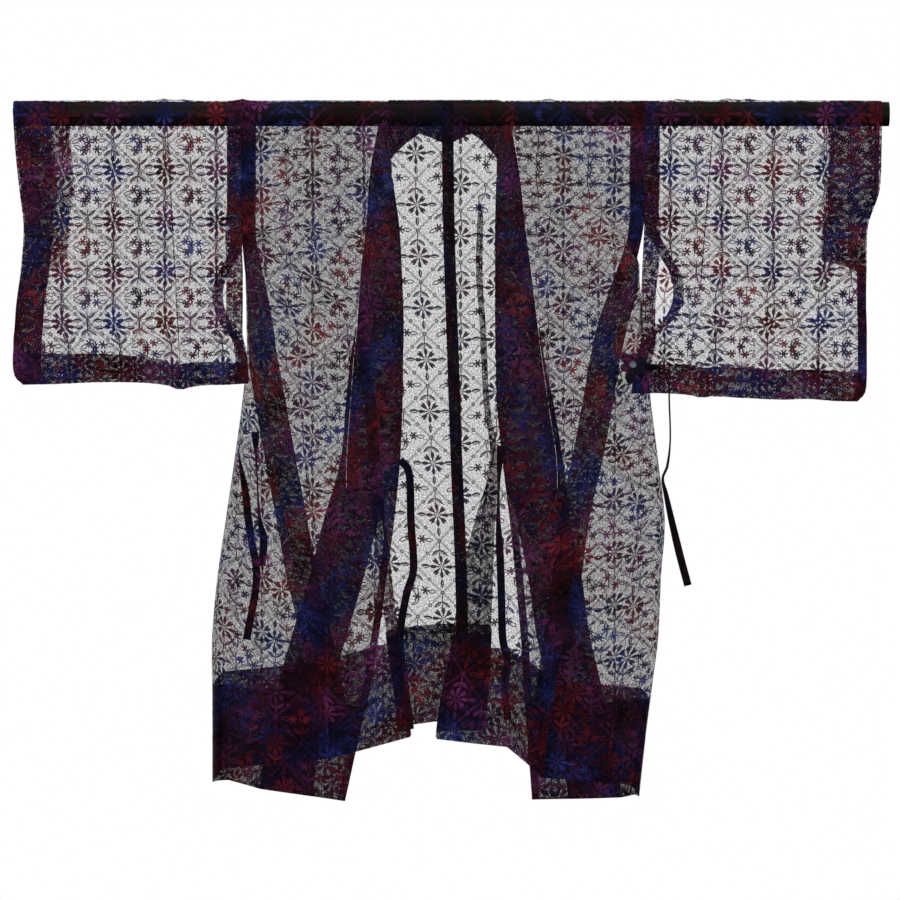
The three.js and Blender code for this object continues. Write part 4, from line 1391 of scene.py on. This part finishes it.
@dataclass
class Sleeve:
    """A sleeve: one length folded over the rod, joined along its bottom and up its outer edge to the cuff."""

    name: str
    sign: int
    depth: float
    cuff_band: tuple[float, float]
    cuff_turn: tuple[float, float]
    lower_band: float
    cuff_layers: int
    low_cuff_layers: int
    hem_band: tuple[float, float]
    table: SectionTable
    hem_drop: SectionTable
    start: tuple[float, float]
    creases: tuple[Crease, ...] = ()
    flat: tuple[float, float] = (0.47, 1.02)
    bottom_radius: float = 2.4
    bottom_rows: tuple[float, ...] = (12.0, 5.0, 0.0)
    least_depth: float = 1.3
    opening: float = 235.0
    opening_shut: tuple[float, float] = (-12.0, 45.0)
    cuff_shut: tuple[float, float] = (0.8, 1.0)
    cuff_blend_start: float = 110.0
    armhole_band: float = 26.0
    open_band: float = 17.0
    band_layers: int = 3
    low_cuff_spacing: float = 1.6
    hem_drop_reach: float = 150.0
    seam_lap: float = 4.0
    corner_lift: float = 0.0
    corner_outs: tuple[float, float] = (312.0, 338.0)
    corner_levels: tuple[float, float] = (236.0, 280.0)
    tuck_width: float = 2.6
    tuck_shift: tuple[float, float] = (23.0, 31.0)
    tucks: tuple[Crease, ...] = ()
    hem_layers: int = 2
    ground_cover: float = 0.28
    cells: int = 34

    def spread(self, share: Array, level: Array) -> Array:
        """Distance of a layer from the rod's plane, by its share of the way to the cuff."""
        bottom = self.depth - self.bottom_radius
        hang = lerp(DRAPE_RADIUS, self.bottom_radius, rise(0, bottom, level))
        start, end = (self.opening + shift for shift in self.opening_shut)
        return lerp(hang, self.least_depth, rise(start, end, level) * rise(*self.cuff_shut, share))

    def side(self, is_far: bool, levels: Array) -> Array:
        """Points of one layer of the sleeve at some levels."""
        shares = np.linspace(0, 1, self.cells + 1)[None, :]
        level = levels[:, None]
        lap = self.seam_lap * (1 - rise(WRAP_START, ARMHOLE_DEPTH, level))
        edge = self.table.at("far_edge" if is_far else "near_edge", level) + SEAM_GAP - lap
        out = lerp(edge, self.table.at("cuff", level), shares)
        x = self.sign * out
        depth = self.spread(shares, level) + (1 - rise(0.86, 1.0, shares)) * swell(x, level, self.creases)
        corner = self.corner_lift * (1 - rise(*self.corner_outs, out)) * rise(*self.corner_levels, level)
        y = np.maximum(depth, self.least_depth) * (1 if is_far else -1) - corner
        return np.stack([x, y, np.broadcast_to(-level, x.shape)], axis=-1)

    def tuck(self, crease: Crease, layer: int) -> Cloth:
        """One layer of the narrow tuck that is pressed into the near cloth along a crease."""
        levels = np.linspace(crease.start[1], crease.end[1], 40)
        share = np.linspace(0, 1, len(levels))
        middle = lerp(crease.start[0], crease.end[0], share)
        width = self.tuck_width * np.sin(math.pi * np.clip(share * 0.9 + 0.1, 0, 1)) ** 0.5
        x = middle[:, None] + width[:, None] * np.linspace(-0.5, 0.5, 4)[None, :]
        level = np.broadcast_to(levels[:, None], x.shape)
        depth = self.spread(np.zeros_like(x), level) + swell(x, level, self.creases) + LAYER_GAP * layer
        points = np.stack([x, -depth, -level], axis=-1)
        return Cloth(points, np.abs(x) + self.tuck_shift[0] * layer, level + self.tuck_shift[1] * layer)

    def build(self) -> bpy.types.Object:
        """Makes the sleeve with its cuff, its hem and its armhole allowances.

        Returns:
            The piece.
        """
        bottom = self.depth - self.bottom_radius
        first, *others = (bottom - above for above in self.bottom_rows)
        levels = np.concatenate([np.linspace(0, first, 48), others])
        near, far = self.side(False, levels)[::-1], self.side(True, levels)
        shares = np.arange(1, ROD_STEPS) / ROD_STEPS
        over = np.stack([on_rod(near[-1, :, 0], np.full(self.cells + 1, math.pi * share)) for share in shares])
        turn = far[-1:].copy()
        turn[..., 1], turn[..., 2] = (near[:1, :, 1] + far[-1:, :, 1]) / 2, -self.depth
        points = np.concatenate([turn, near, over, far, turn])
        drop = self.hem_drop.at("drop", np.abs(points[..., 0]))
        points[..., 2] -= drop * rise(self.depth - self.hem_drop_reach, self.depth, -points[..., 2])
        top = len(near) + ROD_STEPS // 2
        start = np.abs(points[:, 0, 0]) - float(self.table.at("near_edge", 0))
        across, along = cloth_measures(points, start, top)
        cloth = Cloth(points, across, -along)
        inward = self.sign * LAYER_GAP
        level = np.abs(points[:, 0, 2])
        opened = rise(self.cuff_blend_start, ARMHOLE_DEPTH, level)
        lower = rise(self.opening - 3, self.opening + 3, level)
        cuff, cuff_turn = (lerp(lerp(*b, opened), self.lower_band, lower) for b in (self.cuff_band, self.cuff_turn))
        is_far = np.arange(len(points)) > top
        band = np.where(is_far | (level < ARMHOLE_DEPTH), self.armhole_band, self.open_band)
        hem = np.linspace(*self.hem_band, self.cells + 1)
        layers = [
            *cloth.hem(Edge.LAST_COLUMN, cuff, 6, inward, self.cuff_layers),
            cloth.folded_in(Edge.LAST_COLUMN, cuff_turn, 6, inward * (self.cuff_layers + 1), self.cuff_layers + 1),
            *cloth.hem(Edge.FIRST_COLUMN, band, 4, inward, self.band_layers),
            *cloth.hem(Edge.FIRST_ROW, hem, 6, inward, self.hem_layers),
            *cloth.hem(Edge.LAST_ROW, hem, 6, inward, self.hem_layers),
            *(self.tuck(crease, layer) for crease in self.tucks for layer in (1, 2)),
        ]
        low = int((level[: len(near)] > self.opening).sum())
        for half in (slice(0, low), slice(len(points) - low, None)):
            narrow, spacing = cloth.part(half, slice(None)), inward * self.low_cuff_spacing
            layers += narrow.hem(Edge.LAST_COLUMN, self.lower_band, 4, spacing, self.low_cuff_layers)
        piece = make_piece(f"sleeve_{self.name}_cloth", [cloth, *layers])
        finish = NetFinish(f"net of sleeve {self.name}", start=self.start, ground_cover=self.ground_cover)
        dress(piece, finish, "net_cloth", f"sleeve_{self.name}")
        return piece


RIBBON_PROFILE = (
    (-1, 0), (-0.93, 0.8), (-0.5, 1), (0, 0.9), (0.5, 1), (0.93, 0.8),
    (1, 0), (0.93, -0.8), (0.5, -1), (0, -0.9), (-0.5, -1), (-0.93, -0.8), (-1, 0),
)


@dataclass
class Tie:
    """A flat tie along its route of points: x, y, level and the turn of its broad face in degrees."""

    name: str
    route: tuple[tuple[float, float, float, float], ...]
    cut_length: float
    width: float = 12.0
    thickness: float = 1.5
    steps: int = 72

    def line(self) -> tuple[Array, Array]:
        """The tie's middle line and the half width vector at each of its points."""
        route = np.array(self.route)
        knots = np.concatenate([[0], np.cumsum(np.sqrt(np.linalg.norm(np.diff(route[:, :3], axis=0), axis=1)))])
        share = np.linspace(0, knots[-1], self.steps + 1)
        values = []
        for axis in range(4):
            table = SectionTable(("key", "value"), np.stack([knots, route[:, axis]], axis=1))
            values.append(table.at("value", share))
        points = np.stack([values[0], values[1], -values[2]], axis=-1)
        tangent = np.gradient(points, axis=0)
        tangent /= np.linalg.norm(tangent, axis=1, keepdims=True)
        level = np.stack([-tangent[:, 2], np.zeros(len(points)), tangent[:, 0]], axis=-1)
        level /= np.linalg.norm(level, axis=1, keepdims=True)
        turn = np.radians(values[3])[:, None]
        half = level * np.cos(turn) + np.cross(tangent, level) * np.sin(turn)
        return points, half * self.width / 2

    def build(self) -> bpy.types.Object:
        """Makes the tie as a flat ribbon with rounded edges and closed ends.

        Returns:
            The piece.
        """
        points, half = self.line()
        tangent = np.gradient(points, axis=0)
        normal = np.cross(tangent, half)
        normal *= self.thickness / 2 / np.linalg.norm(normal, axis=1, keepdims=True)
        sides = np.stack([points + a * half + b * normal for a, b in RIBBON_PROFILE], axis=1)
        ends = (np.repeat(end.mean(axis=1, keepdims=True), sides.shape[1], axis=1) for end in (sides[:1], sides[-1:]))
        first, last = ends
        grid = np.concatenate([first, sides, last])
        across, along = cloth_measures(grid, np.zeros(len(grid)), 0)
        along = np.repeat(along[:, 3:4], along.shape[1], axis=1)
        piece = make_piece(f"{self.name}_ribbon", [Cloth(grid, across, along)])
        merge_points(piece)
        path = [Vector(p) * MM for p in points]
        tuple(path[0])
        dress(piece, TieFinish(f"folded net of {self.name}"), "tie_cloth", self.name)
        return piece


def merge_points(piece: bpy.types.Object) -> None:
    """Merges a piece's doubled points and turns its faces outwards."""
    bpy.ops.object.select_all(action="DESELECT")
    bpy.context.view_layer.objects.active = piece
    piece.select_set(True)
    bpy.ops.object.mode_set(mode="EDIT")
    bpy.ops.mesh.select_all(action="SELECT")
    bpy.ops.mesh.remove_doubles(threshold=MERGE_DISTANCE)
    bpy.ops.mesh.normals_make_consistent(inside=False)
    bpy.ops.object.mode_set(mode="OBJECT")
    piece.select_set(False)


@dataclass
class RosetteKnot:
    """The flat rosette knot at the start of the outer tie: loops of ribbon round a small middle."""

    centre: tuple[float, float, float] = (286.0, -33.5, 389.0)
    loops: tuple[tuple[float, float, float], ...] = (
        (22, 22.0, 8.0), (78, 19.0, 7.0), (138, 24.0, 8.4), (200, 20.0, 7.4), (258, 30.0, 8.4), (312, 25.0, 7.4),
    )
    thickness: float = 3.4
    bow: float = 1.2
    stagger: float = 0.5
    dent_depth: float = 0.55
    dent_width: float = 0.32
    segments: int = 20
    rings: int = 12

    def petal(self, angle: float, reach: float, half_width: float, lift: float) -> Cloth:
        """One looped petal, shaped from a flattened sphere."""
        polar = np.linspace(0, math.pi, self.rings + 1)[:, None]
        around = np.linspace(0, 2 * math.pi, self.segments + 1)[None, :]
        x, y = np.sin(polar) * np.cos(around), np.sin(polar) * np.sin(around)
        z, along = np.broadcast_to(np.cos(polar), x.shape), (x + 1) / 2
        wide = half_width * (0.55 + 0.75 * along - 0.3 * along ** 3)
        dent = self.dent_depth * np.exp(-((y / self.dent_width) ** 2)) * (0.35 + along)
        px, pz = reach * along, y * wide
        py = z * self.thickness / 2 * (1 - 0.35 * dent) - lift - self.bow * np.sin(math.pi * along)
        cosine, sine = math.cos(math.radians(angle)), math.sin(math.radians(angle))
        middle = (self.centre[0], self.centre[1], -self.centre[2])
        points = np.stack([px * cosine - pz * sine, py, px * sine + pz * cosine], axis=-1) + middle
        return Cloth(points, points[..., 0], points[..., 2])

    def build(self) -> bpy.types.Object:
        """Makes the knot.

        Returns:
            The piece.
        """
        petals = [self.petal(*loop, self.stagger * (n % 2)) for n, loop in enumerate(self.loops)]
        knot = make_piece("rosette_knot", petals)
        merge_points(knot)
        dress(knot, KnotFinish((self.centre[0], self.centre[1], -self.centre[2])), "tie_cloth", "knot")
        return knot


@dataclass
class DisplayRod:
    """The straight display rod, whose CAD solid is kept."""

    node: str = "rod"
    finish: RodFinish = field(default_factory=RodFinish)

    def dress(self) -> None:
        """Gives the rod its wood."""
        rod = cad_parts[self.node]
        rod.data.materials.clear()
        rod.data.materials.append(self.finish.make())
        LOG.info("%s: kept, in %s", self.node, self.finish.name)


@dataclass
class Studio:
    """Camera, soft light, pale floor and white surroundings."""

    pixel: float = 1.55
    distance: float = 7.0
    frame_pixels: int = 900
    middle: tuple[float, float] = (447.5, 114.0)
    sensor: float = 36.0
    floor_level: float = -1.34
    floor_size: float = 2.3
    floor_shade: int = 246
    see_through: int = 40
    lamp_size: float = 2.0
    lamp_aim: tuple[float, float, float] = (0, 0, -0.5)
    lamps: tuple[tuple[str, tuple[float, float, float], float], ...] = (
        ("key", (-1.9, -3.2, 1.2), 68), ("fill", (2.2, -3.0, 0.2), 38),
        ("back_key", (1.9, 3.2, 1.2), 68), ("back_fill", (-2.2, 3.0, 0.2), 38), ("top", (0, 0, 3.0), 30),
    )

    def camera(self) -> None:
        """Places the camera level with the middle of the coat, square to its back."""
        data = bpy.data.cameras.new("camera")
        data.sensor_width = self.sensor
        data.lens = data.sensor_width * self.distance / (self.frame_pixels * self.pixel * MM)
        camera = bpy.data.objects.new("camera", data)
        half = self.frame_pixels / 2
        camera.location = (
            (half - self.middle[0]) * self.pixel * MM, -self.distance, -(half - self.middle[1]) * self.pixel * MM,
        )
        camera.rotation_euler = (math.pi / 2, 0, 0)
        bpy.context.scene.collection.objects.link(camera)
        bpy.context.scene.camera = camera

    def light(self) -> None:
        """White surroundings that only the camera sees, and soft lamps before, behind and above the coat."""
        scene = bpy.context.scene
        scene.view_settings.view_transform = "Standard"
        scene.view_settings.look = "None"
        scene.cycles.transparent_max_bounces = self.see_through
        scene.cycles.max_bounces = 0
        world = bpy.data.worlds.new("white surroundings")
        world.use_nodes = True
        pen = NodeSketch(world.node_tree)
        background = world.node_tree.nodes["Background"]
        seen = pen.node("ShaderNodeLightPath").outputs["Is Camera Ray"]
        pen.fill(background, {"Color": (1, 1, 1, 1), "Strength": seen})
        scene.world = world
        for name, place, energy in self.lamps:
            data = bpy.data.lights.new(name, "AREA")
            data.energy, data.size, data.use_shadow = energy, self.lamp_size, False
            lamp = bpy.data.objects.new(name, data)
            lamp.location = place
            lamp.rotation_euler = (Vector(self.lamp_aim) - Vector(place)).to_track_quat("-Z", "Y").to_euler()
            scene.collection.objects.link(lamp)

    def floor(self) -> None:
        """A wide pale floor under the coat."""
        bpy.ops.object.select_all(action="DESELECT")
        bpy.ops.mesh.primitive_plane_add(size=self.floor_size, location=(0, 0, self.floor_level))
        floor = bpy.context.object
        floor.name = "studio_floor"
        floor.data.materials.append(PaleFinish("pale floor", self.floor_shade).make())
        floor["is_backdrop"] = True


TIES = (
    Tie("tie_front_left", ((-74, 30.2, 536, 0), (-60, 29, 556, 0), (-57, 28, 630, 0), (-53, 27, 706, 0),
                           (-63, 25, 742, 0), (-72, 24, 790, 0), (-74, 24, 820, 0), (-67, 23, 884, 0),
                           (-58, 22, 955, 0)), 0.425),
    Tie("tie_front_right", ((83, 32.4, 514, 0), (80, 31, 568, 70), (79, 30, 628, 60), (82, 28, 690, 0),
                            (84, 27, 752, 0), (86, 26, 815, 0), (93, 25, 848, 0), (89, 24, 893, 0),
                            (94, 23, 940, 0)), 0.43),
    Tie("tie_inner_left", ((-325, 3, 520, 90), (-320, 6, 550, 60), (-314, 8, 583, 20), (-309, 8, 629, 0),
                           (-303, 9, 668, 0), (-297, 9, 700, 0), (-297, 9, 730, 0), (-303, 8, 769, 0),
                           (-312, 8, 815, 0)), 0.3),
    Tie("tie_inner_left_short", ((-297, -24.4, 493, 0), (-296, -15, 530, 70), (-294, -6, 583, 80),
                                 (-291, -2, 629, 60), (-285, 0, 660, 0), (-288, 1, 700, 0)), 0.21),
    Tie("tie_outer_right", ((304, -33, 392, 20), (318, -33, 393, 50), (332, -30, 396, 90), (341, -24, 412, 90),
                            (343, -16, 448, 90), (345, -4, 505, 90), (341, 4, 545, 80),
                            (334, 8, 565, 80), (339, 8, 590, 60), (350, 7, 640, 30), (361, 6, 686, 0),
                            (373, 5, 731, 0)), 0.38, thickness=2.4),
)

LEFT_SLEEVE = Sleeve(
    name="left", sign=-1, depth=420, cuff_band=(57, 43), cuff_turn=(84, 69), lower_band=44,
    cuff_layers=2, low_cuff_layers=0, hem_band=(33, 56), corner_lift=25.0, corner_levels=(316.0, 356.0),
    start=(119, 36),
    hem_drop=SectionTable(("out", "drop"), [
        [300, -2], [345, 0], [380, 1], [404, 5], [416, 8], [430, 2], [470, -3], [540, -4], [610, -1], [672, 0],
    ]),
    table=SectionTable(SLEEVE_COLUMNS, [
        [0, 319, 319, 672], [60, 319, 319, 668], [120, 319, 319, 662], [172, 319, 319, 656], [215, 321, 318, 658],
        [250, 340, 317, 662], [275, 347, 317, 666], [300, 345, 317, 669], [330, 333, 317, 671],
        [350, 322, 315, 673], [362, 315, 311, 673], [386, 309, 308, 674], [406, 307, 307, 671],
        [415, 307, 307, 664], [420, 307, 307, 652],
    ]),
    creases=(Crease((-435, 4), (-418, 400), 8, 2.4), Crease((-540, 20), (-560, 330), 12, -1.8),
             Crease((-600, 10), (-612, 240), 9, 1.6)),
    tucks=(Crease((-434, 6), (-414, 396), 8, 2.4),),
)

RIGHT_SLEEVE = Sleeve(
    name="right", sign=1, depth=440, cuff_band=(78, 68), cuff_turn=(80, 70), lower_band=14,
    cuff_layers=1, low_cuff_layers=3, hem_band=(46, 51), corner_lift=25.0,
    start=(-41, 36),
    hem_drop=SectionTable(("out", "drop"), [
        [300, -6], [330, -7], [376, -4], [392, 0], [410, -2], [450, 0], [515, 3], [560, 2], [600, 5], [650, 6],
    ]),
    table=SectionTable(SLEEVE_COLUMNS, [
        [0, 306, 306, 672], [60, 306, 306, 671], [120, 306, 306, 668], [172, 305, 305, 651], [215, 325, 303, 649],
        [250, 345, 301, 649], [275, 349, 299, 649], [300, 345, 297.5, 649], [330, 326, 297.5, 650],
        [346, 310, 298.5, 650], [360, 302, 298, 650], [386, 291, 290, 650], [400, 288, 287, 650],
        [424, 285, 285, 648], [435, 284, 284, 641], [440, 284, 284, 630],
    ]),
    creases=(Crease((408, 8), (392, 300), 8, 2.4), Crease((500, 16), (488, 380), 12, -1.8),
             Crease((590, 10), (580, 250), 9, 1.6)),
    tucks=(Crease((411, 12), (389, 300), 8, 2.4),),
)


def report_sizes() -> None:
    """Writes the CAD box and the visual model's box."""
    boxes = {"cad": CAD_BOX, "visual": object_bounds()}
    plain = {name: [list(corner) for corner in box] for name, box in boxes.items()}
    LOG.info("boxes: %s", plain)


def main() -> None:
    """Builds the coat piece by piece, with the camera and the ties first."""
    studio = Studio()
    studio.camera()
    for tie in TIES:
        tie.build()
    RosetteKnot().build()
    BodyLength(LEFT, start=(130, -65.5)).build()
    BodyLength(RIGHT, start=(100, -16)).build()
    OverlapPanel(LEFT, start=(30, 22)).build()
    OverlapPanel(RIGHT, start=(92, 50)).build()
    Collar(start=(90, 30)).build()
    LEFT_SLEEVE.build()
    RIGHT_SLEEVE.build()
    DisplayRod().dress()
    studio.light()
    studio.floor()
    report_sizes()


if __name__ == "__main__":
    logging.basicConfig(level=logging.INFO, format="%(name)s: %(message)s")
    main()
